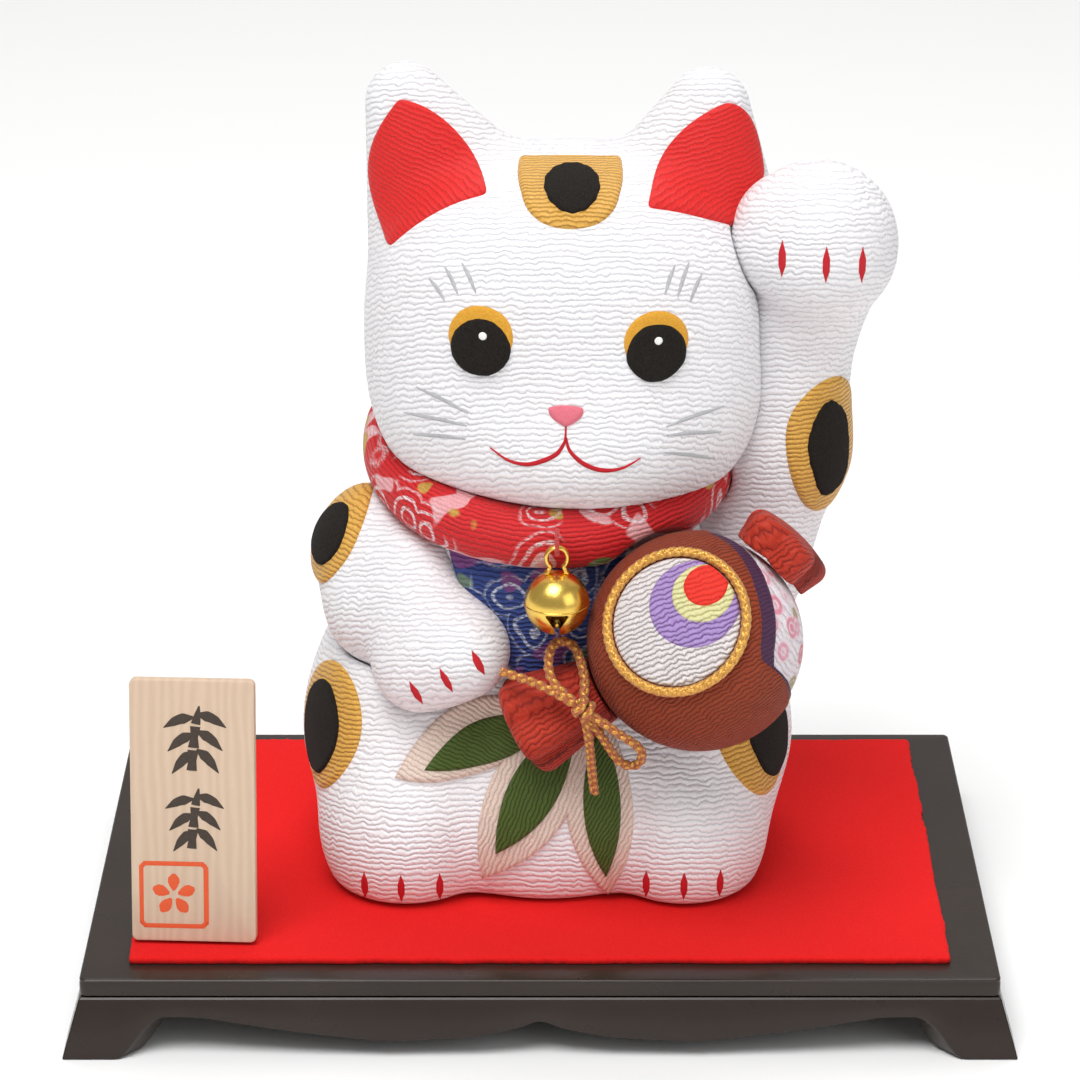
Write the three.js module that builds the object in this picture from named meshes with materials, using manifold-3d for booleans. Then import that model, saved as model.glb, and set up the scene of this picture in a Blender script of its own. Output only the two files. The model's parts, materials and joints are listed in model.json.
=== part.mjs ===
// Beckoning cat figurine in crepe cloth, standing on a lacquered stand with a felt mat and a name tag.
// Millimetres. X runs to the cat's left-hand side of the display, Y runs to the back, Z runs up.
// The origin is under the middle of the stand, on the surface that it stands on.
import * as THREE from "three";
import { mergeVertices } from "three/addons/utils/BufferGeometryUtils.js";
import Module from "manifold-3d";

const wasm = await Module();
wasm.setup();

// Gap left between pieces that touch.
const GAP = 0.3;

// Stand: a flat board over four flared aprons with a scalloped lower edge.
const STAND = {
  width: 180, depth: 120, top: 15.7, board: 3.6, flare: 3.5, apron: 5, foot: 12, arch: 8, lobe: 3.4,
};
const MAT = { width: 162, depth: 108, thick: 1.2, y: 0.5 };
const MAT_TOP = STAND.top + GAP + MAT.thick;
const FLOOR = MAT_TOP + GAP;

// Name tag: a thin plate that leans back on a prop.
const TAG = { width: 24.6, height: 53.3, thick: 2.8, x: -68.3, y: -47.6, lean: 8, turn: -3 };
const PROP = { width: 9, depth: 11, height: 14, toe: 3, shoulder: 3.5 };

// Cat: every part is a smooth blend of ellipsoids and round-ended cones.
const NECK = { centre: v(2.2, 6.7, 103), tilt: 15.2, roll: 0.5 };
const COLLAR = { radius: 32.2, tube: 5.8 };
const CLOTH = 0.8;

// Mallet: a bulging drum, its front pointing at axis, with a handle along grip.
const DRUM = { centre: v(30.9, -31, 75.3), radius: 20.6, half: 17.6, bulge: 2.4 };
const AXIS = v(-0.29, -0.8, 0.52).normalize();
const GRIP = perpendicular(v(0.846, 0.14, 0.514), AXIS);
const SIDE = AXIS.clone().cross(GRIP);
const MEDAL = { ring: 13, cord: 1.1, seat: 17.6, inside: 11.6, x: 0.5, y: 0.5 };

// Bell, hanging from a thread loop in front of the collar.
const BELL = { centre: v(3.3, -34, 84.6), radius: 6.35, wall: 0.7, bail: 2.2, bailWire: 0.55, pellet: 1.5 };
const LOOP = { centre: v(3.3, -33.1, 96.8), radius: 2.3, thread: 0.45, stem: 6.2 };

const LOOKS = {
  lacquer: { color: 0x3a322e, roughness: 0.3, metalness: 0 },
  felt: { color: 0xe43232, roughness: 0.95, metalness: 0 },
  paleWood: { color: 0xdec5aa, roughness: 0.7, metalness: 0 },
  whiteCrepe: { color: 0xf0eef5, roughness: 0.7, metalness: 0 },
  redCrepe: { color: 0xe12d28, roughness: 0.75, metalness: 0 },
  goldCrepe: { color: 0xcd9632, roughness: 0.7, metalness: 0 },
  blackCloth: { color: 0x322f2c, roughness: 0.85, metalness: 0 },
  yellowCrepe: { color: 0xf0aa28, roughness: 0.7, metalness: 0 },
  pinkCloth: { color: 0xe1737d, roughness: 0.7, metalness: 0 },
  collarPrint: { color: 0xd22d2d, roughness: 0.75, metalness: 0 },
  bluePrint: { color: 0x2d418c, roughness: 0.75, metalness: 0 },
  brownCrepe: { color: 0x9b4122, roughness: 0.75, metalness: 0 },
  floralPrint: { color: 0xd9a3b4, roughness: 0.75, metalness: 0 },
  purpleCloth: { color: 0x553255, roughness: 0.75, metalness: 0 },
  lilacCloth: { color: 0x966ebe, roughness: 0.75, metalness: 0 },
  limeCloth: { color: 0xe1dc96, roughness: 0.75, metalness: 0 },
  orangeCrepe: { color: 0xc83c23, roughness: 0.75, metalness: 0 },
  creamCrepe: { color: 0xebd7c8, roughness: 0.75, metalness: 0 },
  greenCrepe: { color: 0x46642d, roughness: 0.75, metalness: 0 },
  gold: { color: 0xd6a33a, roughness: 0.25, metalness: 1 },
  goldCord: { color: 0xd29632, roughness: 0.45, metalness: 0.6 },
  redThread: { color: 0xc8282a, roughness: 0.7, metalness: 0 },
};

function v(x, y, z) {
  return new THREE.Vector3(x, y, z);
}

function perpendicular(vector, axis) {
  return vector.clone().addScaledVector(axis, -vector.dot(axis)).normalize();
}

// ---- solids ----

function solid(geometry) {
  const bare = geometry.clone();
  for (const name of ["normal", "uv", "uv1"]) {
    bare.deleteAttribute(name);
  }
  const merged = mergeVertices(bare, 1e-4);
  const mesh = new wasm.Mesh({
    numProp: 3,
    vertProperties: new Float32Array(merged.attributes.position.array),
    triVerts: new Uint32Array(merged.index.array),
  });
  return new wasm.Manifold(mesh);
}

function largest(shape) {
  const pieces = shape.decompose();
  return pieces.reduce((best, piece) => (piece.volume() > best.volume() ? piece : best));
}

function minus(shape, ...cutters) {
  return cutters.reduce((rest, cutter) => rest.subtract(cutter), shape);
}

function geometryOf(shape, pivot) {
  const mesh = shape.getMesh();
  const geometry = new THREE.BufferGeometry();
  geometry.setAttribute("position", new THREE.BufferAttribute(mesh.vertProperties, 3));
  geometry.setIndex(new THREE.BufferAttribute(mesh.triVerts, 1));
  geometry.translate(-pivot.x, -pivot.y, -pivot.z);
  geometry.computeVertexNormals();
  return geometry;
}

function addPiece(group, name, shape, look, pivot = v(0, 0, 0)) {
  const mesh = new THREE.Mesh(geometryOf(largest(shape), pivot), new THREE.MeshStandardMaterial(LOOKS[look]));
  mesh.name = name;
  mesh.position.copy(pivot);
  group.add(mesh);
}

// ---- smooth distance fields ----

function smoothMin(a, b, blend) {
  const h = THREE.MathUtils.clamp(0.5 + (0.5 * (b - a)) / blend, 0, 1);
  return b * (1 - h) + a * h - blend * h * (1 - h);
}

function ellipsoid(centre, radii) {
  return (p) => {
    const q = p.clone().sub(centre);
    const k0 = q.clone().divide(radii).length();
    const k1 = q.divide(radii).divide(radii).length();
    return k1 < 1e-9 ? -Math.min(radii.x, radii.y, radii.z) : (k0 * (k0 - 1)) / k1;
  };
}

// A cone with round ends, squashed along Y by flat.
function roundCone(start, end, startRadius, endRadius, flat = 1) {
  const squash = v(1, 1 / flat, 1);
  const a = start.clone().multiply(squash);
  const span = end.clone().multiply(squash).sub(a);
  const lengthSq = span.lengthSq();
  const drop = startRadius - endRadius;
  const slant = lengthSq - drop * drop;
  return (p) => {
    const q = p.clone().multiply(squash).sub(a);
    const along = q.dot(span);
    const past = along - lengthSq;
    const offSq = q.multiplyScalar(lengthSq).addScaledVector(span, -along).lengthSq();
    const side = Math.sign(drop) * drop * drop * offSq;
    let distance = (Math.sqrt((offSq * slant) / lengthSq) + along * drop) / lengthSq - startRadius;
    if (Math.sign(past) * slant * past * past * lengthSq > side) {
      distance = Math.sqrt(offSq + past * past * lengthSq) / lengthSq - endRadius;
    } else if (Math.sign(along) * slant * along * along * lengthSq < side) {
      distance = Math.sqrt(offSq + along * along * lengthSq) / lengthSq - startRadius;
    }
    return distance * Math.min(1, flat);
  };
}

// A rounded block between an ellipsoid and a box.
function superEllipsoid(centre, radii, power) {
  return (p) => {
    const q = p.clone().sub(centre);
    const sum = ["x", "y", "z"].reduce((total, k) => total + Math.abs(q[k] / radii[k]) ** power, 0);
    const g = Math.max(sum ** (1 / power), 1e-6);
    return ((g - 1) * q.length()) / g;
  };
}

function blended(parts) {
  const [[first], ...rest] = parts;
  return (p) => rest.reduce((total, [field, blend]) => smoothMin(total, field(p), blend), first(p));
}

const headField = blended([
  [superEllipsoid(v(4.7, 5, 128.3), v(39.7, 32, 36.5), 2.7)],
  [ellipsoid(v(11.6, 3, 115.3), v(30.2, 31, 22.9)), 8],
  [ellipsoid(v(5.3, -17, 110.7), v(15.9, 12, 7.3)), 12],
  [roundCone(v(-17.4, 7, 154), v(-26.4, 7, 174.2), 16.8, 7.9, 0.72), 5],
  [roundCone(v(28.8, 7, 154), v(33, 7, 172.6), 17.2, 8.3, 0.72), 5],
]);

const bodyField = blended([
  [ellipsoid(v(1.4, 9, 38.8), v(49.8, 37, 35.4))],
  [ellipsoid(v(1, 6, 76), v(36, 30, 38)), 14],
  [ellipsoid(v(1, 13, 94), v(31, 25, 32)), 10],
  [ellipsoid(v(-27, -15, 30), v(18, 19.5, 22)), 9],
  [ellipsoid(v(29, -15, 30), v(17.5, 19.5, 22)), 9],
  [ellipsoid(v(1.5, -12, 30), v(24, 19.5, 24)), 6],
  [ellipsoid(v(-27, 2, 49.5), v(19.5, 26, 24.9)), 8],
  [ellipsoid(v(30, 2, 45.5), v(19.5, 26, 24.9)), 8],
]);

const restingArmField = blended([
  [roundCone(v(-30.1, 1, 80.7), v(-30.7, -7, 73.8), 15.6, 11.6)],
  [roundCone(v(-30.7, -7, 73.8), v(-20.3, -21, 70.7), 11.6, 9.9), 5],
  [roundCone(v(-23.8, -23, 66.8), v(-15.5, -26, 71.1), 9.3, 9.6), 4],
  [roundCone(v(-24.4, -12, 82.7), v(-20.3, -21, 70.7), 8.7, 9.9), 6],
]);

const raisedArmField = blended([
  [roundCone(v(38.4, 8, 75.9), v(46.9, 7, 102.8), 15.5, 14.3)],
  [roundCone(v(46.9, 7, 102.8), v(51.5, 4, 133.3), 14.3, 11.8), 5],
  [roundCone(v(51.5, 4, 133.3), v(56.2, -2, 145.9), 11.8, 13.4), 5],
]);

const pawField = roundCone(v(50.6, -5, 150.2), v(54.4, -5, 149.6), 13.4, 15.6);
const tailField = roundCone(v(1, 42, 33), v(1, 47, 40), 8, 7.5);

// Distance from a point inside the field to the level along a direction.
function reach(field, centre, direction, level) {
  let inside = 0;
  let step = 4;
  const value = (r) => field(centre.clone().addScaledVector(direction, r)) - level;
  while (step > 1e-3) {
    while (value(inside + step) < 0) {
      inside += step;
    }
    step /= 4;
  }
  return inside;
}

// A sphere whose points are pushed out to the field's level.
function blob(field, centre, level, columns, rows) {
  const geometry = new THREE.SphereGeometry(1, columns, rows).rotateX(Math.PI / 2);
  const position = geometry.attributes.position;
  for (let i = 0; i < position.count; i += 1) {
    const direction = new THREE.Vector3().fromBufferAttribute(position, i).normalize();
    const point = centre.clone().addScaledVector(direction, reach(field, centre, direction, level));
    position.setXYZ(i, point.x, point.y, point.z);
  }
  return solid(geometry);
}

// ---- cutters ----

// Turns local X, Y, Z into the plane across a normal, and moves it to a centre.
function facing(centre, normal, turn = 0) {
  const z = normal.clone().normalize();
  const x = v(0, 0, 1).cross(z).normalize();
  const y = z.clone().cross(x);
  const basis = new THREE.Matrix4().makeBasis(x, y, z);
  const spin = new THREE.Matrix4().makeRotationZ(THREE.MathUtils.degToRad(turn));
  return new THREE.Matrix4().makeTranslation(centre.x, centre.y, centre.z).multiply(basis).multiply(spin);
}

function punch(points, matrix, depth) {
  const geometry = new THREE.ExtrudeGeometry(new THREE.Shape(points), { depth, bevelEnabled: false });
  return solid(geometry.translate(0, 0, -depth / 2).applyMatrix4(matrix));
}

// A punch through an outline drawn in X and Z, seen from the front.
function frontPunch(points, near = -70, far = 12) {
  const options = { depth: far - near, bevelEnabled: false };
  const geometry = new THREE.ExtrudeGeometry(new THREE.Shape(points), options);
  return solid(geometry.rotateX(Math.PI / 2).translate(0, far, 0));
}

function oval(halfWidth, halfHeight, segments = 14, x = 0, y = 0) {
  return Array.from({ length: segments }, (_, i) => {
    const angle = (2 * Math.PI * i) / segments;
    return new THREE.Vector2(x + halfWidth * Math.cos(angle), y + halfHeight * Math.sin(angle));
  });
}

// A closed outline through corners, with a control point bending each side.
function curved(corners, steps = 4) {
  const shape = new THREE.Shape();
  shape.moveTo(corners[0][0], corners[0][1]);
  corners.forEach(([, , cx, cz], i) => {
    const [x, z] = corners[(i + 1) % corners.length];
    shape.quadraticCurveTo(cx, cz, x, z);
  });
  return shape.getPoints(steps).slice(0, -1);
}

function neckBasis() {
  const tilt = THREE.MathUtils.degToRad(NECK.tilt);
  const roll = THREE.MathUtils.degToRad(NECK.roll);
  const z = v(Math.sin(roll) * Math.cos(tilt), -Math.sin(tilt), Math.cos(tilt) * Math.cos(roll)).normalize();
  const x = perpendicular(v(1, 0, 0), z);
  const c = NECK.centre;
  const turned = new THREE.Matrix4().makeBasis(x, z.clone().cross(x), z);
  return new THREE.Matrix4().makeTranslation(c.x, c.y, c.z).multiply(turned);
}

// Everything above the neck plane, or below it.
function neckSide(sign) {
  const size = 200;
  const box = new THREE.BoxGeometry(size, size, size).translate(0, 0, sign * (size / 2 + GAP / 2));
  return solid(box.applyMatrix4(neckBasis()));
}

function aboveFloor() {
  return solid(new THREE.BoxGeometry(300, 300, 300).translate(0, 0, FLOOR + 150));
}

// ---- shapes that neighbours are cut by, grown by an offset ----

const bodyShape = (grow) => blob(bodyField, v(1, 4, 48), grow, 28, 20);
const headShape = (grow) => blob(headField, v(5.2, 5, 131), grow, 32, 24);
const restingArmShape = (grow) => blob(restingArmField, v(-31, -8, 73), grow, 20, 14);
const pawShape = (grow) => blob(pawField, v(53, -5, 149.8), grow, 14, 10);
const raisedArmShape = (grow) => blob(raisedArmField, v(48, 7, 106), grow, 16, 14).add(pawShape(grow));
const tailShape = (grow) => blob(tailField, v(1, 44, 36), grow, 10, 8);

function collarShape(grow) {
  const torus = new THREE.TorusGeometry(COLLAR.radius, COLLAR.tube + grow, 8, 28);
  return solid(torus.applyMatrix4(neckBasis()));
}

function drumBasis() {
  const c = DRUM.centre;
  const basis = new THREE.Matrix4().makeBasis(GRIP, SIDE, AXIS);
  return new THREE.Matrix4().makeTranslation(c.x, c.y, c.z).multiply(basis);
}

function drumShape(grow, segments = 24) {
  const steps = 10;
  const power = 2 / DRUM.bulge;
  const profile = Array.from({ length: steps + 1 }, (_, i) => {
    const angle = -Math.PI / 2 + (Math.PI * i) / steps;
    const [c, s] = [Math.cos(angle), Math.sin(angle)];
    const across = (DRUM.radius + grow) * Math.abs(c) ** power;
    const along = (DRUM.half + grow) * Math.sign(s) * Math.abs(s) ** power;
    return new THREE.Vector2(i === 0 || i === steps ? 0 : across, along);
  });
  const lathe = new THREE.LatheGeometry(profile, segments).rotateX(Math.PI / 2);
  return solid(lathe.applyMatrix4(drumBasis()));
}

// The drum with its cap on, and a gap round it.
const coveredDrum = () => drumShape(GAP + CLOTH + GAP);

// One gathered cloth end of the handle, fluted all round, between two distances along the grip.
function handleShape(from, to, fromRadius, toRadius, turn, grow) {
  const length = Math.abs(to - from) + grow;
  const geometry = new THREE.CylinderGeometry(toRadius + grow, fromRadius + grow, length, 24, 2);
  const position = geometry.attributes.position;
  for (let i = 0; i < position.count; i += 1) {
    const angle = Math.atan2(position.getZ(i), position.getX(i));
    const flute = 1 + 0.06 * Math.cos(6 * angle);
    position.setXYZ(i, position.getX(i) * flute, position.getY(i), position.getZ(i) * flute);
  }
  const sign = Math.sign(to - from);
  geometry.translate(0, length / 2, 0).rotateZ((-sign * Math.PI) / 2).translate(from, 0, 0);
  geometry.rotateZ(THREE.MathUtils.degToRad(turn));
  return solid(geometry.applyMatrix4(drumBasis()));
}

const lowerHandle = (grow) => handleShape(-12, -41, 5, 9.8, -7.3, grow);
const upperHandle = (grow) => handleShape(12, 29, 7, 9, 14, grow);

// ---- the stand ----

function frustum(inset, topZ, bottomZ) {
  const slope = STAND.flare / (STAND.top - STAND.board);
  const height = topZ - bottomZ;
  const geometry = new THREE.BoxGeometry(1, 1, height).translate(0, 0, (topZ + bottomZ) / 2);
  const position = geometry.attributes.position;
  for (let i = 0; i < position.count; i += 1) {
    const grow = slope * (STAND.top - STAND.board - position.getZ(i)) - inset;
    const x = Math.sign(position.getX(i)) * (STAND.width / 2 + grow);
    const y = Math.sign(position.getY(i)) * (STAND.depth / 2 + grow);
    position.setXYZ(i, x, y, position.getZ(i));
  }
  return solid(geometry);
}

// The open space under one apron's edge: two mirrored arches with a lobe between each foot and the middle.
function archOutline(halfLength) {
  const { arch, lobe, foot } = STAND;
  const inner = halfLength - foot;
  const shoulder = inner - 13;
  const shape = new THREE.Shape();
  shape.moveTo(-inner, -2);
  shape.lineTo(-inner, 0.01);
  shape.bezierCurveTo(-inner + 2, arch, -inner + 5, arch + 0.6, -shoulder, arch);
  shape.bezierCurveTo(-shoulder * 0.75, arch, -shoulder * 0.6, lobe, -shoulder * 0.45, lobe);
  shape.bezierCurveTo(-shoulder * 0.3, lobe, -shoulder * 0.12, lobe + 1, 0, arch - 0.5);
  shape.bezierCurveTo(shoulder * 0.12, lobe + 1, shoulder * 0.3, lobe, shoulder * 0.45, lobe);
  shape.bezierCurveTo(shoulder * 0.6, lobe, shoulder * 0.75, arch, shoulder, arch);
  shape.bezierCurveTo(inner - 5, arch + 0.6, inner - 2, arch, inner, 0.01);
  shape.lineTo(inner, -2);
  return shape.getPoints(4);
}

// The plan wedge that one apron keeps, so that the corners are mitred.
function mitre(halfLength, halfDepth) {
  const over = 20;
  const edge = GAP / 2;
  const points = [
    [-halfLength - over + edge * 2, -halfDepth - over],
    [halfLength + over - edge * 2, -halfDepth - over],
    [halfLength - halfDepth * 0.5 - edge * 2, -halfDepth * 0.5],
    [-halfLength + halfDepth * 0.5 + edge * 2, -halfDepth * 0.5],
  ].map(([x, y]) => new THREE.Vector2(x, y));
  const geometry = new THREE.ExtrudeGeometry(new THREE.Shape(points), { depth: 60, bevelEnabled: false });
  return solid(geometry.translate(0, 0, -20));
}

function apron(halfLength, halfDepth, quarterTurns) {
  const under = STAND.top - STAND.board - GAP;
  const shell = frustum(0, under, 0).subtract(frustum(STAND.apron, under + 5, -5));
  const wedge = mitre(halfLength, halfDepth).rotate([0, 0, 90 * quarterTurns]);
  const arches = frontPunch(archOutline(halfLength + STAND.flare), -200, 0).rotate([0, 0, 90 * quarterTurns]);
  return shell.intersect(wedge).subtract(arches);
}

function board() {
  const x = STAND.width / 2;
  const y = STAND.depth / 2;
  const chamfer = 0.7;
  const outline = new THREE.Shape();
  outline.moveTo(-x + chamfer, -y + chamfer);
  outline.lineTo(x - chamfer, -y + chamfer);
  outline.lineTo(x - chamfer, y - chamfer);
  outline.lineTo(-x + chamfer, y - chamfer);
  const options = {
    depth: STAND.board - 2 * chamfer, bevelSize: chamfer, bevelThickness: chamfer, bevelSegments: 2,
  };
  const geometry = new THREE.ExtrudeGeometry(outline, options);
  return solid(geometry.translate(0, 0, STAND.top - STAND.board + chamfer));
}

function buildStand() {
  const stand = new THREE.Group();
  const x = STAND.width / 2;
  const y = STAND.depth / 2;
  addPiece(stand, "stand_top_board", board(), "lacquer", v(0, 0, STAND.top));
  addPiece(stand, "stand_front_apron", apron(x, y, 0), "lacquer");
  addPiece(stand, "stand_right_apron", apron(y, x, 1), "lacquer");
  addPiece(stand, "stand_rear_apron", apron(x, y, 2), "lacquer");
  addPiece(stand, "stand_left_apron", apron(y, x, 3), "lacquer");
  const mat = new THREE.BoxGeometry(MAT.width, MAT.depth, MAT.thick);
  mat.translate(0, MAT.y, MAT_TOP - MAT.thick / 2);
  addPiece(stand, "felt_mat", solid(mat), "felt", v(0, MAT.y, MAT_TOP));
  return stand;
}

// ---- the name tag ----

function buildTag() {
  const tag = new THREE.Group();
  const lean = THREE.MathUtils.degToRad(-TAG.lean);
  const turn = THREE.MathUtils.degToRad(TAG.turn);
  const foot = v(TAG.x, TAG.y, FLOOR);
  const round = 1;
  const outline = new THREE.Shape();
  const half = TAG.width / 2 - round;
  outline.absarc(half, TAG.height - round, round, 0, Math.PI / 2);
  outline.absarc(-half, TAG.height - round, round, Math.PI / 2, Math.PI);
  outline.absarc(-half, round, round, Math.PI, Math.PI * 1.5);
  outline.absarc(half, round, round, Math.PI * 1.5, Math.PI * 2);
  const options = { depth: TAG.thick, bevelEnabled: false, curveSegments: 3 };
  const plate = new THREE.ExtrudeGeometry(outline, options);
  plate.rotateX(Math.PI / 2).translate(0, TAG.thick, 0).rotateX(lean).rotateZ(turn);
  plate.translate(foot.x, foot.y, foot.z + 0.4);
  const plateShape = solid(plate).intersect(aboveFloor());
  addPiece(tag, "tag_plate", plateShape, "paleWood", foot);
  const { depth, height, toe, shoulder } = PROP;
  const corners = [[0, 0], [depth, 0], [depth, toe], [shoulder, height], [0, height]];
  const side = new THREE.Shape(corners.map(([x, z]) => new THREE.Vector2(x, z)));
  const prop = new THREE.ExtrudeGeometry(side, { depth: PROP.width, bevelEnabled: false });
  prop.translate(0, 0, -PROP.width / 2).rotateX(Math.PI / 2).rotateZ(Math.PI / 2 + turn);
  prop.translate(foot.x, foot.y, foot.z);
  const plateRoom = new THREE.BoxGeometry(60, 20, 80).translate(0, TAG.thick + GAP - 10, 30);
  plateRoom.rotateX(lean).rotateZ(turn).translate(foot.x, foot.y, foot.z);
  addPiece(tag, "tag_prop", solid(prop).subtract(solid(plateRoom)), "paleWood", foot);
  return tag;
}

// ---- the cat ----

function buildCores(cat) {
  const drum = drumShape(GAP);
  const handles = [lowerHandle(GAP), upperHandle(GAP)];
  const collar = collarShape(GAP);
  const body = bodyShape(0).intersect(aboveFloor()).intersect(neckSide(-1));
  const arms = [restingArmShape(GAP), raisedArmShape(GAP)];
  const head = headShape(0).intersect(neckSide(1));
  const trunk = minus(body, ...arms, drum, ...handles, collar, tailShape(GAP));
  const resting = minus(restingArmShape(0), collar, ...handles, drum);
  const raised = minus(raisedArmShape(0), collar, drum, ...handles);
  addPiece(cat, "body_core", trunk, "whiteCrepe", v(1, 4, FLOOR));
  addPiece(cat, "head_core", minus(head, arms[1], collar), "whiteCrepe", NECK.centre);
  addPiece(cat, "resting_arm", resting, "whiteCrepe", v(-32, -6, 73));
  addPiece(cat, "raised_arm", raised, "whiteCrepe", v(48, 7, 106));
  addPiece(cat, "tail", tailShape(0), "whiteCrepe", v(1, 44, 36));
  addPiece(cat, "collar", minus(collarShape(0), stemShape(GAP), coveredDrum()), "collarPrint", NECK.centre);
}

// Cloth laid over a shape, between two heights above it, inside a cutter.
function patch(shapeAt, cutter, layer = 0) {
  const low = GAP + layer * (CLOTH + GAP);
  return shapeAt(low + CLOTH).intersect(cutter).subtract(shapeAt(low));
}

// An oval of gold cloth with a smaller black oval sewn on it.
function addSpot(cat, name, shapeAt, spot, cutters = []) {
  const { centre, normal, gold, black, turn = 0, shift = [0, 0] } = spot;
  const matrix = facing(centre, normal, turn);
  const goldCloth = patch(shapeAt, punch(gold, matrix, 30));
  const blackMatrix = matrix.clone().multiply(new THREE.Matrix4().makeTranslation(shift[0], shift[1], 0));
  const blackCloth = patch(shapeAt, punch(oval(black[0], black[1], 12), blackMatrix, 30), 1);
  addPiece(cat, `${name}_gold`, minus(goldCloth, ...cutters), "goldCrepe", centre);
  addPiece(cat, `${name}_black`, minus(blackCloth, ...cutters), "blackCloth", centre);
}

function foreheadOutline() {
  return curved([
    [-10, 12.6, 0, 13.2], [10, 12.6, 10.8, 4], [9.6, -0.5, 8.8, -9.2],
    [0, -9.2, -8.8, -9.2], [-9.6, -0.5, -10.8, 4],
  ], 3);
}

function buildSpots(cat) {
  const forehead = {
    centre: v(5.9, -13, 162.3), normal: v(0, -0.48, 0.88),
    gold: foreheadOutline(), black: [5.5, 7.3], shift: [0.3, 0.8],
  };
  addSpot(cat, "spot_forehead", headShape, forehead);
  const shoulder = {
    centre: v(-41.7, -3.8, 87.5), normal: v(-0.8, -0.55, 0.2),
    gold: oval(8.8, 10.2), black: [5.6, 6.3], shift: [0.9, 0],
  };
  addSpot(cat, "spot_shoulder", restingArmShape, shoulder, [collarShape(GAP), bodyShape(0)]);
  const arm = {
    centre: v(57.5, -3, 106.3), normal: v(0.66, -0.75, 0), turn: 5,
    gold: oval(10, 14.8), black: [5.6, 10.4], shift: [-0.6, -0.3],
  };
  addSpot(cat, "spot_arm", raisedArmShape, arm);
  const left = {
    centre: v(-43.1, -13.2, 49.8), normal: v(-0.8, -0.58, 0.15), turn: 9,
    gold: oval(12.2, 13), black: [8, 9.7], shift: [-1, -0.6],
  };
  addSpot(cat, "spot_left_haunch", bodyShape, left, [restingArmShape(GAP)]);
  const right = {
    centre: v(43.8, -16.2, 49.7), normal: v(0.75, -0.65, 0.12),
    gold: oval(12, 13), black: [8, 9.5], shift: [3, -0.8],
  };
  addSpot(cat, "spot_right_haunch", bodyShape, right, [coveredDrum()]);
}

function buildEarPanels(cat) {
  const left = curved([[-27.5, 176.3, -17.5, 175], [-9.8, 160.9, -21.5, 158.7], [-29.6, 148.9, -39, 162.4]]);
  const right = curved([
    [36.3, 175.4, 42.5, 175], [44.2, 160.3, 41.5, 156.5],
    [37.8, 152.7, 29, 157.9], [20.5, 158.9, 24.8, 171.5],
  ]);
  addPiece(cat, "ear_left_panel", patch(headShape, frontPunch(left, -70, 8)), "redCrepe", v(-22, -8, 163));
  const rightCloth = patch(headShape, frontPunch(right, -70, 8)).subtract(raisedArmShape(GAP));
  addPiece(cat, "ear_right_panel", rightCloth, "redCrepe", v(33, -8, 163));
}

function buildFace(cat) {
  const eyes = [["eye_left", -11.4, 134.3], ["eye_right", 22.4, 133.2]];
  for (const [name, x, z] of eyes) {
    const yellow = frontPunch(oval(6.3, 6, 14, x, z + 2.1), -70, 0);
    const black = frontPunch(oval(5.9, 5.9, 14, x, z), -70, 0);
    addPiece(cat, `${name}_yellow`, patch(headShape, yellow), "yellowCrepe", v(x, -26, z));
    addPiece(cat, `${name}_black`, patch(headShape, black, 1), "blackCloth", v(x, -26, z));
  }
  const nose = curved([[1.5, 122.9, 5, 124], [8.5, 122.9, 9, 121], [5, 119.4, 1, 121]]);
  addPiece(cat, "nose", patch(headShape, frontPunch(nose, -70, 0)), "pinkCloth", v(5, -30, 121));
  addPiece(cat, "mouth", mouth(), "redCrepe", v(5, -31, 114));
}

// The nearest point in front of a field at this X and Z, lifted off it.
function frontOf(field, x, z, lift) {
  let y = -80;
  while (field(v(x, y, z)) > lift) {
    y += 0.05;
  }
  return v(x, y, z);
}

function tube(points, radius, sides = 6, steps = 16) {
  const path = new THREE.CatmullRomCurve3(points, false, "centripetal");
  const section = new THREE.Shape(oval(radius, radius, sides));
  return solid(new THREE.ExtrudeGeometry(section, { extrudePath: path, steps, bevelEnabled: false }));
}

function mouth() {
  const line = 0.55;
  const on = (x, z) => frontOf(headField, x, z, GAP + line + 0.15);
  const left = [on(5, 118.6), on(4.6, 116), on(1, 112.8), on(-5.2, 112), on(-9.7, 114.3)];
  const right = [on(5, 117.4), on(5.6, 114.4), on(9.5, 111.8), on(15.3, 111.2), on(19.4, 112.9)];
  return tube(left, line, 5, 9).add(tube(right, line, 5, 9));
}

function buildBib(cat) {
  const outline = curved([[-20, 98, 0, 90], [16, 98, 18, 84], [15, 66, 3, 62], [-4, 66, -14, 78]]);
  const cloth = patch(bodyShape, frontPunch(outline, -70, 0));
  const cutters = [restingArmShape(GAP), coveredDrum(), lowerHandle(GAP), collarShape(GAP), headShape(GAP)];
  addPiece(cat, "bib", minus(cloth, ...cutters), "bluePrint", v(2, -24, 80));
}

// A pointed leaf between its root and its tip, drawn in X and Z.
function leafOutline(root, tip, halfWidth) {
  const middle = [(root[0] + tip[0]) / 2, (root[1] + tip[1]) / 2];
  const length = Math.hypot(tip[0] - root[0], tip[1] - root[1]);
  const across = [root[1] - tip[1], tip[0] - root[0]].map((side) => (side / length) * halfWidth * 2);
  return curved([
    [root[0], root[1], middle[0] - across[0], middle[1] - across[1]],
    [tip[0], tip[1], middle[0] + across[0], middle[1] + across[1]],
  ], 7);
}

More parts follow.
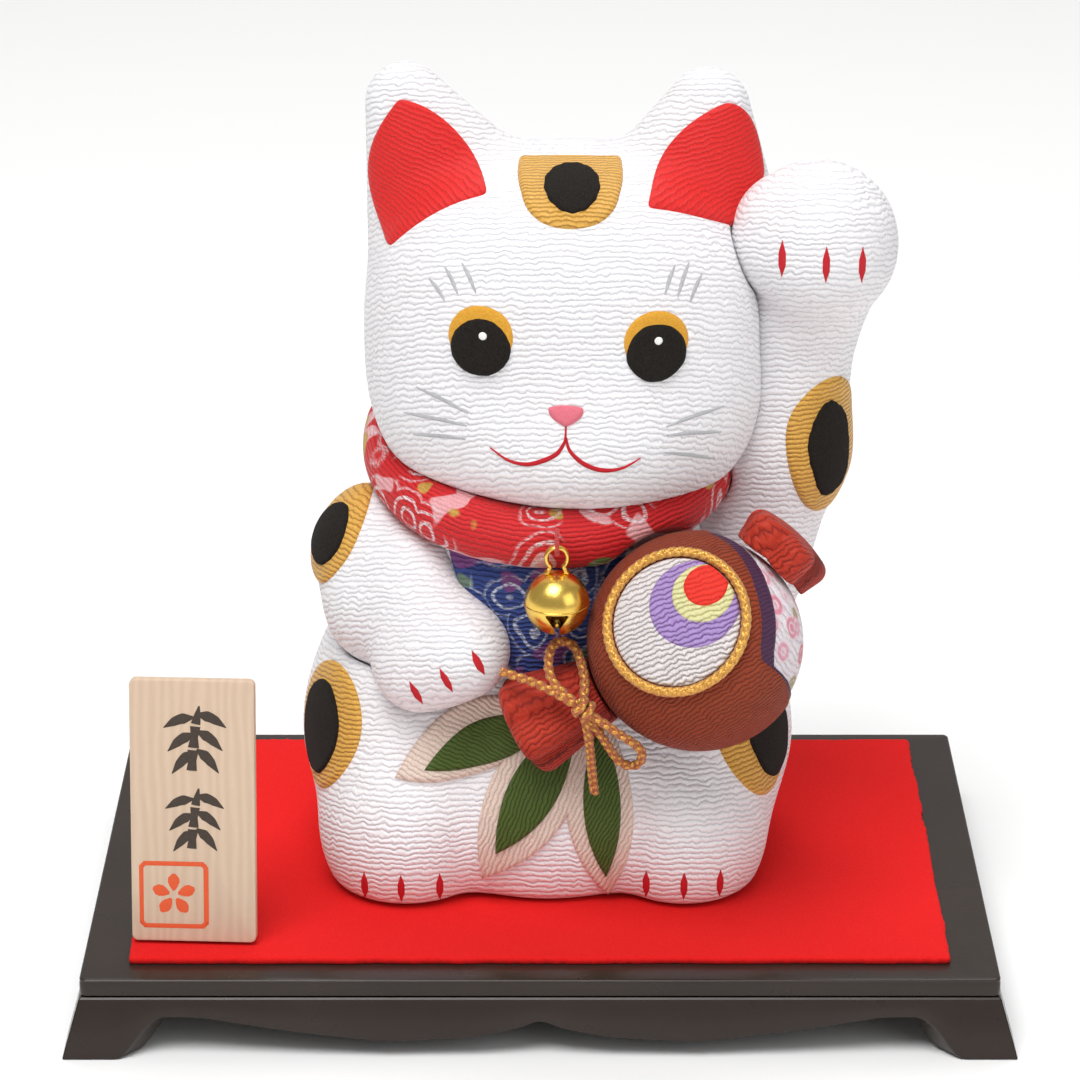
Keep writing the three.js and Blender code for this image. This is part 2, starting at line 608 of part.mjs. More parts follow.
function buildLeaves(cat) {
  const leaves = [
    ["left", [[4, 60], [-29, 45.1], 7], [[4, 57.5], [-23.7, 46.1], 4.6]],
    ["middle", [[8, 60], [-11.8, 22.8], 8.3], [[7, 57], [-9, 29], 5]],
    ["right", [[10, 60], [13.7, 18.3], 6.8], [[11.5, 55], [13.2, 23.4], 4]],
  ];
  const laid = [];
  const neighbours = [lowerHandle(GAP), coveredDrum(), restingArmShape(GAP), aboveBib()];
  for (const [name, cream, green] of leaves) {
    const outline = leafOutline(...cream);
    const [x, z] = cream[1];
    const border = minus(patch(bodyShape, frontPunch(outline, -70, 0)), ...neighbours, ...laid);
    addPiece(cat, `leaf_${name}_cream`, border, "creamCrepe", v(x, -28, z));
    laid.push(frontPunch(grown(outline, GAP), -70, 0));
    const centre = minus(patch(bodyShape, frontPunch(leafOutline(...green), -70, 0), 1), ...neighbours);
    addPiece(cat, `leaf_${name}_green`, centre, "greenCrepe", v(x, -29, z));
  }
}

// Keeps the leaves clear of the bib.
function aboveBib() {
  return solid(new THREE.BoxGeometry(80, 100, 60).translate(0, -40, 93.5));
}

// Pushes an outline's points away from its middle.
function grown(points, distance) {
  const middle = points.reduce((sum, p) => sum.add(p), new THREE.Vector2()).divideScalar(points.length);
  return points.map((p) => p.clone().add(p.clone().sub(middle).setLength(distance)));
}

// ---- the mallet ----

// How far from the drum's axis the cap reaches, at angles from the grip: it wraps right over the edge
// except on one side, where a window shows the trim and the printed cloth behind it.
const CAP_EDGE = [
  [-62, 24], [-58, 20.8], [-54, 17.7], [-34, 16.7], [-4, 16.9], [22, 18.5], [42, 19.8], [48, 24],
];

function capOutline(grow) {
  const [first, last] = [CAP_EDGE[0][0], CAP_EDGE[CAP_EDGE.length - 1][0]];
  const window = CAP_EDGE.map(([angle, radius]) => [angle, radius + grow]);
  const steps = 12;
  const wrapped = Array.from({ length: steps - 1 }, (_, i) => {
    return [last + ((360 + first - last) * (i + 1)) / steps, 24 + grow];
  });
  return [...window, ...wrapped].map(([angle, radius]) => {
    const turn = THREE.MathUtils.degToRad(angle);
    return new THREE.Vector2(radius * Math.cos(turn), radius * Math.sin(turn));
  });
}

function drumPunch(points, from) {
  const geometry = new THREE.ExtrudeGeometry(new THREE.Shape(points), { depth: 45, bevelEnabled: false });
  return solid(geometry.translate(0, 0, from).applyMatrix4(drumBasis()));
}

function drumLayer(low, high, cutter) {
  return drumShape(high).intersect(cutter).subtract(drumShape(low));
}

function buildMallet(cat) {
  const neighbours = [bodyShape(GAP), raisedArmShape(GAP)];
  addPiece(cat, "mallet_barrel", drumShape(0), "floralPrint", DRUM.centre);
  const handles = [lowerHandle(GAP), upperHandle(GAP)];
  const cap = drumLayer(GAP, GAP + CLOTH, drumPunch(capOutline(0), -8));
  addPiece(cat, "mallet_front_cap", minus(cap, ...handles, ...neighbours), "brownCrepe", DRUM.centre);
  const trimPunch = drumPunch(capOutline(2.3), -1).subtract(drumPunch(capOutline(GAP), -8.4));
  const trim = largest(drumLayer(GAP, GAP + CLOTH, trimPunch));
  addPiece(cat, "mallet_trim", minus(trim, ...handles, ...neighbours), "purpleCloth", DRUM.centre);
  const discs = [
    ["white", "whiteCrepe", MEDAL.inside, MEDAL.x, MEDAL.y],
    ["lilac", "lilacCloth", 8.6, 5.2, 1.15],
    ["lime", "limeCloth", 5.8, 7.55, 1.85],
    ["red", "redCrepe", 4.15, 8.7, 2.7],
  ];
  const inside = drumPunch(oval(MEDAL.inside, MEDAL.inside, 26, MEDAL.x, MEDAL.y), 2);
  discs.forEach(([name, look, radius, x, y], i) => {
    const low = 1.4 + i * 0.8;
    const disc = drumLayer(low, low + 0.5, drumPunch(oval(radius, radius, 18, x, y), 2)).intersect(inside);
    addPiece(cat, `medallion_${name}`, disc, look, DRUM.centre);
  });
  const ring = new THREE.TorusGeometry(MEDAL.ring, MEDAL.cord, 6, 28).translate(MEDAL.x, MEDAL.y, MEDAL.seat);
  addPiece(cat, "medallion_ring_cord", solid(ring.applyMatrix4(drumBasis())), "goldCord", DRUM.centre);
  addPiece(cat, "mallet_handle_lower", lowerHandle(0).subtract(coveredDrum()), "orangeCrepe", DRUM.centre);
  addPiece(cat, "mallet_handle_upper", upperHandle(0).subtract(coveredDrum()), "orangeCrepe", DRUM.centre);
}

function buildBow(cat) {
  const wire = 0.95;
  const knot = v(8.3, -44.2, 66.3);
  const upperLoop = [
    v(2.6, -40.5, 70.5), v(1.7, -35.5, 73.6), v(3.4, -32.5, 75.6), v(6.7, -33, 74.8), v(8.6, -38, 70.5),
  ];
  const lowerLoop = [
    v(14.5, -43.6, 61.5), v(19.6, -41.8, 56.8), v(19.2, -39, 52.4), v(15.8, -38.8, 52.8), v(12, -41.6, 59.5),
  ];
  const paths = [
    [knot, ...upperLoop, knot],
    [knot, v(0.4, -40.4, 69.6), v(-7.6, -37, 71.3)],
    [knot, ...lowerLoop, knot],
    [knot, v(9.5, -42.5, 59.5), v(10.2, -37.2, 50.5), v(10.8, -33.6, 43.8)],
  ];
  const cords = paths.map((points) => tube(points, wire, 6, 14));
  const middle = solid(new THREE.SphereGeometry(2.4, 8, 6).translate(...knot));
  const tied = cords.reduce((sum, cord) => sum.add(cord), middle);
  const cutters = [drumShape(1.4), lowerHandle(GAP), restingArmShape(GAP), bodyShape(1.4)];
  addPiece(cat, "bow_cord", minus(tied, ...cutters), "goldCord", knot);
}

// ---- the bell ----

function shellHalf(sign) {
  const gap = GAP / 2;
  const outer = solid(new THREE.SphereGeometry(BELL.radius, 16, 10));
  const inner = solid(new THREE.SphereGeometry(BELL.radius - BELL.wall, 16, 10));
  const half = solid(new THREE.BoxGeometry(20, 20, 20).translate(0, 0, sign * (10 + gap)));
  return outer.subtract(inner).intersect(half);
}

function buildBellParts() {
  const c = BELL.centre;
  const swing = new THREE.Group();
  const slot = solid(new THREE.BoxGeometry(1.3, 20, 6).translate(0, 0, -7));
  const wedge = [[-2.2, -0.5], [2.2, -0.5], [0.5, -4.2], [-0.5, -4.2]];
  const mouths = frontPunch(wedge.map(([x, z]) => new THREE.Vector2(x, z)), -10, 10);
  addPiece(swing, "bell_upper_shell", shellHalf(1).translate([c.x, c.y, c.z]), "gold", c);
  const lower = minus(shellHalf(-1), slot, mouths).translate([c.x, c.y, c.z]);
  addPiece(swing, "bell_lower_shell", lower, "gold", c);
  const bailZ = c.z + BELL.radius + GAP + BELL.bailWire + BELL.bail;
  const bail = new THREE.TorusGeometry(BELL.bail, BELL.bailWire, 6, 16);
  bail.rotateX(Math.PI / 2).translate(c.x, c.y, bailZ);
  addPiece(swing, "bell_bail", solid(bail), "gold", v(c.x, c.y, bailZ));
  const low = BELL.radius - BELL.wall - BELL.pellet - GAP;
  const pellet = new THREE.SphereGeometry(BELL.pellet, 8, 6).translate(c.x, c.y, c.z - low);
  addPiece(swing, "bell_pellet", solid(pellet), "gold", v(c.x, c.y, c.z - low));
  return swing;
}

function stemShape(grow) {
  const stem = new THREE.CylinderGeometry(LOOP.thread + grow, LOOP.thread + grow, LOOP.stem + grow, 8);
  const back = LOOP.centre.y + LOOP.radius + LOOP.stem / 2 - 0.2;
  return solid(stem.translate(LOOP.centre.x, back, LOOP.centre.z));
}

function buildLoop(group) {
  const c = LOOP.centre;
  const ring = new THREE.TorusGeometry(LOOP.radius, LOOP.thread, 6, 14);
  ring.rotateY(Math.PI / 2).translate(c.x, c.y, c.z);
  addPiece(group, "bell_thread_loop", solid(ring).add(stemShape(0)), "redThread", c);
}

// ---- the whole object ----

const figurine = new THREE.Group();
const cat = new THREE.Group();
buildCores(cat);
buildSpots(cat);
buildEarPanels(cat);
buildFace(cat);
buildBib(cat);
buildLeaves(cat);
buildMallet(cat);
buildBow(cat);
buildLoop(cat);
figurine.add(buildStand(), buildTag(), cat, buildBellParts());

export default figurine;
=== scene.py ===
"""Beckoning cat figurine in crepe cloth: the looks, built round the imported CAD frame.

Shapes are worked out in millimetres in the CAD frame and turned into metres when a mesh is made.
"""
import json
import math

import bpy
import numpy as np
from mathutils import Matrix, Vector

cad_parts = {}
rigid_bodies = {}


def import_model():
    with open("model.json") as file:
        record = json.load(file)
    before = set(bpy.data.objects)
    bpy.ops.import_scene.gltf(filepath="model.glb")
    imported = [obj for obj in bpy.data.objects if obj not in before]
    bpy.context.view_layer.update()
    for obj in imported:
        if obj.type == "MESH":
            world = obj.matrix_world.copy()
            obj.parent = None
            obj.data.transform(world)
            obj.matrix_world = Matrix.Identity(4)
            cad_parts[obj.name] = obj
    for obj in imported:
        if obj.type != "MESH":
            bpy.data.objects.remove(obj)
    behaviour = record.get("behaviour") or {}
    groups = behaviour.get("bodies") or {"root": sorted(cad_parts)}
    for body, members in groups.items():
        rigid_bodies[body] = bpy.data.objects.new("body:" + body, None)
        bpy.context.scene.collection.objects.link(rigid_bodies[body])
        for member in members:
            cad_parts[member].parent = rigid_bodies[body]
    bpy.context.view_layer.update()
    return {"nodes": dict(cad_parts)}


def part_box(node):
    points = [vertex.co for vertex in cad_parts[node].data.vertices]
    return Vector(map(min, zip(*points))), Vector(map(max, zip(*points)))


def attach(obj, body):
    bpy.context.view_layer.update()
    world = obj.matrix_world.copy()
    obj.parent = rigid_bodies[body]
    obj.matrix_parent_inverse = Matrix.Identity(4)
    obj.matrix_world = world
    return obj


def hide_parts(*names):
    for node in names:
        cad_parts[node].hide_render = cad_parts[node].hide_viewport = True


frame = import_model()
MM = 0.001
SEED = 7
FAR = 1e9
TINY = 1e-9
WHOLE_TURN = 2 * math.pi
rng = np.random.default_rng(SEED)


def vec(*values):
    return np.array(values, float)


def unit(vector):
    return vector / np.linalg.norm(vector)


def turned(a, b, degrees):
    """Two axes, or the numbers along them, turned towards each other."""
    c, s = math.cos(math.radians(degrees)), math.sin(math.radians(degrees))
    return a * c + b * s, b * c - a * s


# ---- driving dimensions, millimetres and degrees, the same as the CAD ----

GAP = 0.3
BOARD = dict(x=90.0, y=60.0, top=15.7, thick=3.6, flare=3.5)
MAT = dict(width=162.0, depth=108.0, thick=1.2, y=0.5)
MAT_TOP = BOARD["top"] + GAP + MAT["thick"]
FLOOR = MAT_TOP + GAP
TAG = dict(width=24.6, height=53.3, thick=2.8, x=-68.3, y=-47.6, lean=8.0, turn=-3.0)
NECK = dict(centre=vec(2.2, 6.7, 103), tilt=15.2, roll=0.5)
COLLAR = dict(radius=32.2, tube=5.8)
DRUM = dict(centre=vec(30.9, -31, 75.3), radius=20.6, half=17.6, bulge=2.4)
AXIS = unit(vec(-0.29, -0.80, 0.52))
GRIP = vec(0.846, 0.14, 0.514)
GRIP = unit(GRIP - AXIS * (GRIP @ AXIS))
SIDE = np.cross(AXIS, GRIP)
MEDAL = dict(middle=vec(0.5, 0.5), ring=13.0, inside=12.35)
BELL = dict(centre=vec(3.3, -34, 84.6), radius=6.35, wall=0.7, bail=2.2)
LOOP = dict(centre=vec(3.3, -33.1, 96.8), radius=2.3, thread=0.45)
TAG_CLEARANCE = 0.4
CLOTH_PITCH = 0.24

# ---- the studio: metres, watts ----

CAMERA = dict(place=(0, -0.8183, 0.3987), pitch=21.0, lens=144.5, sensor=36, reach=20)
WORLD = dict(colour=(1.0, 0.99, 0.98, 1), strength=0.37)
FLOOR_HALF = 3.0
PAPER = (0.93, 0.93, 0.93)
LIGHTS = [("key", (-0.3, -0.62, 1.5), 20), ("fill", (1.0, -0.9, 0.7), 3.4), ("back", (0.1, 0.8, 1.45), 8)]
LIGHT_SIZE = 0.9
LIGHT_AIM = (0, 0, 0.09)


# ---- smooth distance fields ----

def smooth_min(a, b, blend):
    h = np.clip(0.5 + 0.5 * (b - a) / blend, 0, 1)
    return b * (1 - h) + a * h - blend * h * (1 - h)


def smooth_max(a, b, blend):
    return -smooth_min(-a, -b, blend)


def ellipsoid(centre, radii):
    centre, radii = vec(*centre), vec(*radii)

    def field(p):
        q = p - centre
        k0 = np.linalg.norm(q / radii, axis=-1)
        k1 = np.linalg.norm(q / (radii * radii), axis=-1)
        return np.where(k1 > TINY, k0 * (k0 - 1) / np.maximum(k1, TINY), -radii.min())
    return field


def super_ellipsoid(centre, radii, power):
    def field(p):
        q = p - centre
        g = np.sum(np.abs(q / radii) ** power, axis=-1) ** (1 / power)
        return (g - 1) * np.linalg.norm(q, axis=-1) / np.maximum(g, 1e-6)
    return field


def round_cone(start, end, start_radius, end_radius, flat=1.0):
    """A cone with round ends, squashed along Y by flat."""
    squash = vec(1, 1 / flat, 1)
    a = vec(*start) * squash
    span = vec(*end) * squash - a
    length2 = span @ span
    drop = start_radius - end_radius
    slant = length2 - drop * drop

    def field(p):
        q = p * squash - a
        along = q @ span
        past = along - length2
        off2 = np.sum((q * length2 - along[..., None] * span) ** 2, axis=-1)
        side = np.sign(drop) * drop * drop * off2
        flank = (np.sqrt(off2 * slant / length2) + along * drop) / length2 - start_radius
        low = np.sqrt(off2 + along * along * length2) / length2 - start_radius
        high = np.sqrt(off2 + past * past * length2) / length2 - end_radius
        distance = np.where(np.sign(along) * slant * along * along * length2 < side, low, flank)
        distance = np.where(np.sign(past) * slant * past * past * length2 > side, high, distance)
        return distance * min(1.0, flat)
    return field


def blended(first, *rest):
    def field(p):
        total = first(p)
        for part, blend in rest:
            total = smooth_min(total, part(p), blend)
        return total
    return field


head_field = blended(
    super_ellipsoid(vec(4.7, 5, 128.3), vec(39.7, 32, 36.5), 2.7),
    (ellipsoid((11.6, 3, 115.3), (30.2, 31, 22.9)), 8),
    (ellipsoid((5.3, -17, 110.7), (15.9, 12, 7.3)), 12),
    (round_cone((-17.4, 7, 154), (-26.4, 7, 174.2), 16.8, 7.9, 0.72), 5),
    (round_cone((28.8, 7, 154), (33, 7, 172.6), 17.2, 8.3, 0.72), 5),
)
body_field = blended(
    ellipsoid((1.4, 9, 38.8), (49.8, 37, 35.4)),
    (ellipsoid((1, 6, 76), (36, 30, 38)), 14),
    (ellipsoid((1, 13, 94), (31, 25, 32)), 10),
    (ellipsoid((-27, -15, 30), (18, 19.5, 22)), 9),
    (ellipsoid((29, -15, 30), (17.5, 19.5, 22)), 9),
    (ellipsoid((1.5, -12, 30), (24, 19.5, 24)), 6),
    (ellipsoid((-27, 2, 49.5), (19.5, 26, 24.9)), 8),
    (ellipsoid((30, 2, 45.5), (19.5, 26, 24.9)), 8),
)
resting_arm_field = blended(
    round_cone((-30.1, 1, 80.7), (-30.7, -7, 73.8), 15.6, 11.6),
    (round_cone((-30.7, -7, 73.8), (-20.3, -21, 70.7), 11.6, 9.9), 5),
    (round_cone((-23.8, -23, 66.8), (-15.5, -26, 71.1), 9.3, 9.6), 4),
    (round_cone((-24.4, -12, 82.7), (-20.3, -21, 70.7), 8.7, 9.9), 6),
)
raised_arm_field = blended(
    round_cone((38.4, 8, 75.9), (46.9, 7, 102.8), 15.5, 14.3),
    (round_cone((46.9, 7, 102.8), (51.5, 4, 133.3), 14.3, 11.8), 5),
    (round_cone((51.5, 4, 133.3), (56.2, -2, 145.9), 11.8, 13.4), 5),
    (round_cone((50.6, -5, 150.2), (54.4, -5, 149.6), 13.4, 15.6), 2.5),
)
tail_field = round_cone((1, 42, 33), (1, 47, 40), 8, 7.5)


def neck_axes():
    tilt, roll = math.radians(NECK["tilt"]), math.radians(NECK["roll"])
    z = unit(vec(math.sin(roll) * math.cos(tilt), -math.sin(tilt), math.cos(tilt) * math.cos(roll)))
    x = unit(vec(1, 0, 0) - z * z[0])
    return x, np.cross(z, x), z


NECK_X, NECK_Y, NECK_Z = neck_axes()


def neck_height(p):
    return (p - NECK["centre"]) @ NECK_Z


def collar_field(p):
    q = p - NECK["centre"]
    ring = np.hypot(q @ NECK_X, q @ NECK_Y) - COLLAR["radius"]
    return np.hypot(ring, q @ NECK_Z) - COLLAR["tube"]


def drum_field(p):
    q = p - DRUM["centre"]
    along = q @ AXIS
    across = np.sqrt(np.maximum(np.sum(q * q, axis=-1) - along * along, 0))
    bulge = DRUM["bulge"]
    g = ((across / DRUM["radius"]) ** bulge + (np.abs(along) / DRUM["half"]) ** bulge) ** (1 / bulge)
    return (g - 1) * DRUM["half"]


def handle_field(start, end, start_radius, end_radius, turn, lobes=5):
    """A gathered cloth end, folded into lobes, along the mallet's grip turned by some degrees."""
    run, side = turned(GRIP, SIDE, turn)

    def field(p):
        q = p - DRUM["centre"]
        along = (q @ run - start) / (end - start)
        y, z = q @ side, q @ AXIS
        angle = np.arctan2(z, y)
        t = np.clip(along, 0, 1)
        radius = start_radius + (end_radius - start_radius) * t
        lobe = np.abs(np.cos(lobes / 2 * angle + 0.5)) * 2 - 1.25
        fold = 1 + 0.2 * t * lobe + 0.04 * t * np.sin(angle + 1)
        across = np.hypot(y, z)
        flank = across - radius * fold
        dome = (along - 1) * abs(end - start) + 1.6 * np.clip(across / end_radius, 0, 1) ** 2
        return smooth_max(flank, dome, 3.0)
    return field


HANDLES = handle_field(-12, -41, 4.8, 10.2, -7.3), handle_field(12, 29, 7, 9.6, 14)


def grown(field, by):
    return lambda p: field(p) - by


def carved(field, rounding, *cutters):
    """A field cut back from its neighbours, with a rounded rim, as cloth tucked into a crease."""
    def result(p):
        total = field(p)
        for cutter in cutters:
            total = smooth_max(total, GAP - cutter(p), rounding)
        return total
    return result


def gradient(field, points, step=0.15):
    shifts = np.eye(3) * step
    result = np.stack([field(points + shift) - field(points - shift) for shift in shifts], axis=1)
    return result / (np.linalg.norm(result, axis=1, keepdims=True) + 1e-12)


# ---- meshing ----

def surface(field, low, high, step):
    """Surface nets: one point in each cell that the surface crosses, joined into quads."""
    axes = [np.arange(a, b + step, step) for a, b in zip(low, high)]
    grid = np.stack(np.meshgrid(*axes, indexing="ij"), axis=-1)
    values = field(grid.reshape(-1, 3)).reshape(grid.shape[:3])
    cells = tuple(n - 1 for n in values.shape)
    total, count = np.zeros(cells + (3,)), np.zeros(cells)
    corners = [(i, j, k) for i in (0, 1) for j in (0, 1) for k in (0, 1)]
    part = {c: values[tuple(slice(k, k + n) for k, n in zip(c, cells))] for c in corners}
    for a in corners:
        for axis in (k for k in range(3) if not a[k]):
            b = tuple(1 if k == axis else a[k] for k in range(3))
            crossed = (part[a] < 0) != (part[b] < 0)
            share = part[a][crossed] / (part[a][crossed] - part[b][crossed])
            place = np.tile(vec(*a), (len(share), 1))
            place[:, axis] += share
            total[crossed] += place
            count[crossed] += 1
    used = count > 0
    number = np.full(cells, -1)
    number[used] = np.arange(used.sum())
    points = low + (np.argwhere(used) + total[used] / count[used][:, None]) * step
    faces = []
    for axis in range(3):
        first, second = [slice(1, -1)] * 3, [slice(1, -1)] * 3
        first[axis], second[axis] = slice(0, -1), slice(1, None)
        start, end = values[tuple(first)], values[tuple(second)]
        edges = np.argwhere((start < 0) != (end < 0))
        rising = start[tuple(edges.T)] < 0
        edges = edges + [0 if k == axis else 1 for k in range(3)]
        ring = []
        for shift in ((-1, -1), (0, -1), (0, 0), (-1, 0)):
            cell = edges.copy()
            cell[:, [(axis + 1) % 3, (axis + 2) % 3]] += shift
            ring.append(number[tuple(cell.T)])
        quads = np.stack(ring, axis=1)
        quads[~rising] = quads[~rising][:, ::-1]
        faces.append(quads)
    for _ in range(3):
        points = points - field(points)[:, None] * gradient(field, points) * 0.8
    return points, np.concatenate(faces)


def grid_faces(rows, columns, ring_rows=False, ring_columns=True, flip=False):
    """Quads over a grid of points, which may close round on itself either way."""
    faces = []
    for row in range(rows if ring_rows else rows - 1):
        a, b = row * columns, (row + 1) % rows * columns
        for i in range(columns if ring_columns else columns - 1):
            j = (i + 1) % columns
            faces.append((a + i, b + i, b + j, a + j) if flip else (a + i, a + j, b + j, b + i))
    return faces


def lofted(rings, closed=False):
    """Closed loops of the same length, joined, with the first and last filled in or joined too."""
    rows, columns = len(rings), len(rings[0])
    faces = grid_faces(rows, columns, closed)
    if not closed:
        faces += [tuple(range(columns))[::-1], tuple(range((rows - 1) * columns, rows * columns))]
    return np.concatenate(rings), faces


def joined(pieces):
    """Several meshes in one: points, faces, and the number of the mesh that each face is from."""
    points, faces, part = [], [], []
    base = 0
    for i, (more, quads) in enumerate(pieces):
        points.append(more)
        faces += [tuple(j + base for j in q) for q in quads]
        part += [i] * len(quads)
        base += len(more)
    return np.concatenate(points), faces, part


def linked(name, data):
    item = bpy.data.objects.new(name, data)
    bpy.context.scene.collection.objects.link(item)
    return item


def new_object(name, points, faces):
    mesh = bpy.data.meshes.new(name)
    mesh.from_pydata((np.asarray(points) * MM).tolist(), [], [list(map(int, f)) for f in faces])
    mesh.update()
    return linked(name, mesh)


def add_mesh(name, points, faces, looks, replaces=(), cloth=None, body="cat"):
    """A piece from points in millimetres. cloth gives each point its place in the flat cloth."""
    piece = new_object(name, points, faces)
    if cloth is not None:
        attribute = piece.data.attributes.new("cloth", "FLOAT_VECTOR", "POINT")
        attribute.data.foreach_set("vector", np.asarray(cloth, np.float32).ravel())
    piece.data.polygons.foreach_set("use_smooth", [True] * len(piece.data.polygons))
    looks = looks.split()
    for look in looks:
        piece.data.materials.append(LOOKS[look])
    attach(piece, body)
    if replaces:
        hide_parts(*replaces.split())
    return piece


def smooth_by_angle(piece, degrees):
    for item in bpy.context.view_layer.objects:
        item.select_set(False)
    piece.select_set(True)
    bpy.context.view_layer.objects.active = piece
    bpy.ops.object.shade_smooth_by_angle(angle=math.radians(degrees))


SKIN_ROOM = 2.5


def add_skin(name, field, node, look, cloth, step, low=-FAR):
    """A skin over a field, in the CAD node's box with a little room round it."""
    lowest, highest = (np.array(c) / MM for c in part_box(node))
    points, faces = surface(field, lowest - SKIN_ROOM, highest + SKIN_ROOM, step)
    points[:, 2] = np.maximum(points[:, 2], low)
    return add_mesh(name, points, faces, look, node, cloth(points))


# ---- outlines and patches ----

def facing(centre, normal, turn=0.0):
    """Centre and axes of a plane across a normal, turned about it by turn degrees."""
    z = unit(vec(*normal))
    x = unit(np.cross(vec(0, 0, 1), z))
    return vec(*centre), *turned(x, np.cross(z, x), turn), z


FRONT = facing((0, 0, 0), (0, -1, 0))


def around(count):
    return np.linspace(0, WHOLE_TURN, count, endpoint=False)


def oval(half_width, half_height, x=0.0, y=0.0, ragged=0.0, count=120):
    angle = around(count)
    wobble = np.zeros(count)
    for k in (3, 5, 8, 13, 21):
        wobble += rng.normal() * np.cos(k * angle + rng.uniform(0, 6)) / math.sqrt(k)
    scale = 1 + ragged * wobble / half_width
    return np.column_stack([x + half_width * np.cos(angle) * scale, y + half_height * np.sin(angle) * scale])


def curved(corners, steps=30):
    """A closed outline: each corner is x, y and the control point that bends the side after it."""
    points = []
    t = np.linspace(0, 1, steps, endpoint=False)[:, None]
    for i, (x, y, cx, cy) in enumerate(corners):
        nx, ny = corners[(i + 1) % len(corners)][:2]
        points.append((1 - t) ** 2 * vec(x, y) + 2 * t * (1 - t) * vec(cx, cy) + t ** 2 * vec(nx, ny))
    return np.concatenate(points)


def lengths_along(path):
    return np.concatenate([[0], np.cumsum(np.linalg.norm(np.diff(path, axis=0), axis=1))])


def resampled(outline, count=140):
    closed = np.vstack([outline, outline[:1]])
    run = lengths_along(closed)
    at = np.linspace(0, run[-1], count, endpoint=False)
    return np.stack([np.interp(at, run, closed[:, k]) for k in range(2)], axis=1)


def softened_outline(corners, passes=4):
    """A curved outline with its corners rounded off."""
    outline = resampled(curved(corners))
    for _ in range(passes):
        outline = 0.25 * np.roll(outline, 1, axis=0) + 0.5 * outline + 0.25 * np.roll(outline, -1, axis=0)
    return outline


def edge_distance(points, outline):
    ends = np.roll(outline, -1, axis=0) - outline
    length2 = np.maximum(np.sum(ends * ends, axis=1), 1e-12)
    best = np.full(len(points), FAR)
    for start, span, l2 in zip(outline, ends, length2):
        t = np.clip((points - start) @ span / l2, 0, 1)
        best = np.minimum(best, np.sum((points - start - t[:, None] * span) ** 2, axis=1))
    return np.sqrt(best)


def on_plane(place, flat):
    centre, x, y, _ = place
    return centre + flat[:, :1] * x + flat[:, 1:] * y


def dropped(field, points, direction, reach=60.0, steps=110, care=0.8):
    """Moves points along a direction until they meet a field."""
    result = points - direction * reach
    nearest = result.copy()
    best = np.full(len(points), FAR)
    for _ in range(steps):
        value = field(result)
        closer = value < best
        nearest[closer] = result[closer]
        best = np.minimum(best, value)
        result = result + direction * np.clip(value * care, -2, 8)[:, None]
    for _ in range(4):
        nearest = nearest - gradient(field, nearest) * field(nearest)[:, None]
    return nearest


def ring_levels(rings, power):
    """How far out each ring of a patch lies, closer together towards the edge."""
    return 1 - (1 - np.linspace(0, 1, rings + 1)[1:]) ** power


def rolled_edge(inside, lift, tuck):
    """The height of cloth whose edge is rolled under, from how far inside the edge a point is."""
    inside = np.clip(inside, 0, 1)
    return (lift + tuck) * np.sqrt(np.maximum(1 - (1 - inside) ** 2, 0)) - tuck


def fan_faces(count, rings):
    fan = [(0, i + 1, (i + 1) % count + 1) for i in range(count)]
    return fan + [tuple(k + 1 for k in quad) for quad in grid_faces(rings, count, flip=True)]


def flat_cloth(flat, weave=0.0):
    return np.column_stack([*turned(flat[:, 0], flat[:, 1], weave), np.zeros(len(flat))])


def add_patch(name, outline, place, field, look, replaces=(), lift=0.8, rim=1.2, weave=0.0,
              count=140, rings=22, tuck=0.3):
    """Cloth laid on a field inside an outline, its edge rolled under. weave turns the cloth's ridges."""
    outline = resampled(np.asarray(outline, float), count)
    middle = outline.mean(axis=0)
    flat = np.vstack([middle[None]] + [middle + (outline - middle) * s for s in ring_levels(rings, 1.35)])
    laid = dropped(field, on_plane(place, flat), -place[3])
    height = rolled_edge(edge_distance(flat, outline) / rim, lift, tuck)
    points = laid + gradient(field, laid) * height[:, None]
    return add_mesh(name, points, fan_faces(count, rings), look, replaces, flat_cloth(flat, weave))


def spline(points, steps):
    """A Catmull-Rom curve through points."""
    points = [np.asarray(p, float) for p in points]
    padded = [2 * points[0] - points[1]] + points + [2 * points[-1] - points[-2]]
    t = np.linspace(0, 1, steps, endpoint=False)[:, None]
    result = [0.5 * (2 * b + (c - a) * t + (2 * a - 5 * b + 4 * c - d) * t ** 2
                     + (3 * b - a - 3 * c + d) * t ** 3)
              for a, b, c, d in zip(padded, padded[1:], padded[2:], padded[3:])]
    return np.concatenate(result + [points[-1][None]])


def ribbon(points, widths, lanes, steps):
    """A flat tapered ribbon along a curve: points, faces and the number of points in each lane."""
    path = spline(points, steps)
    width = np.interp(np.linspace(0, 1, len(path)), np.linspace(0, 1, len(widths)), widths)
    run = np.gradient(path, axis=0)
    side = np.stack([-run[:, 1], run[:, 0]], axis=1)
    side /= np.linalg.norm(side, axis=1, keepdims=True) + TINY
    flat = np.concatenate([path + side * (width * k / 2)[:, None] for k in lanes])
    return flat, grid_faces(len(lanes), len(path), ring_columns=False), len(path)


def stroke(points, widths, place, field, lift):
    """A brush stroke on a field: a thin tapered ribbon, highest along its middle."""
    lanes = (-1.0, -0.5, 0.0, 0.5, 1.0)
    flat, faces, count = ribbon(points, widths, lanes, 14)
    laid = dropped(field, on_plane(place, flat), -place[3])
    crown = np.repeat([lift * (1 - k * k) + 0.02 for k in lanes], count)
    return laid + gradient(field, laid) * crown[:, None], faces


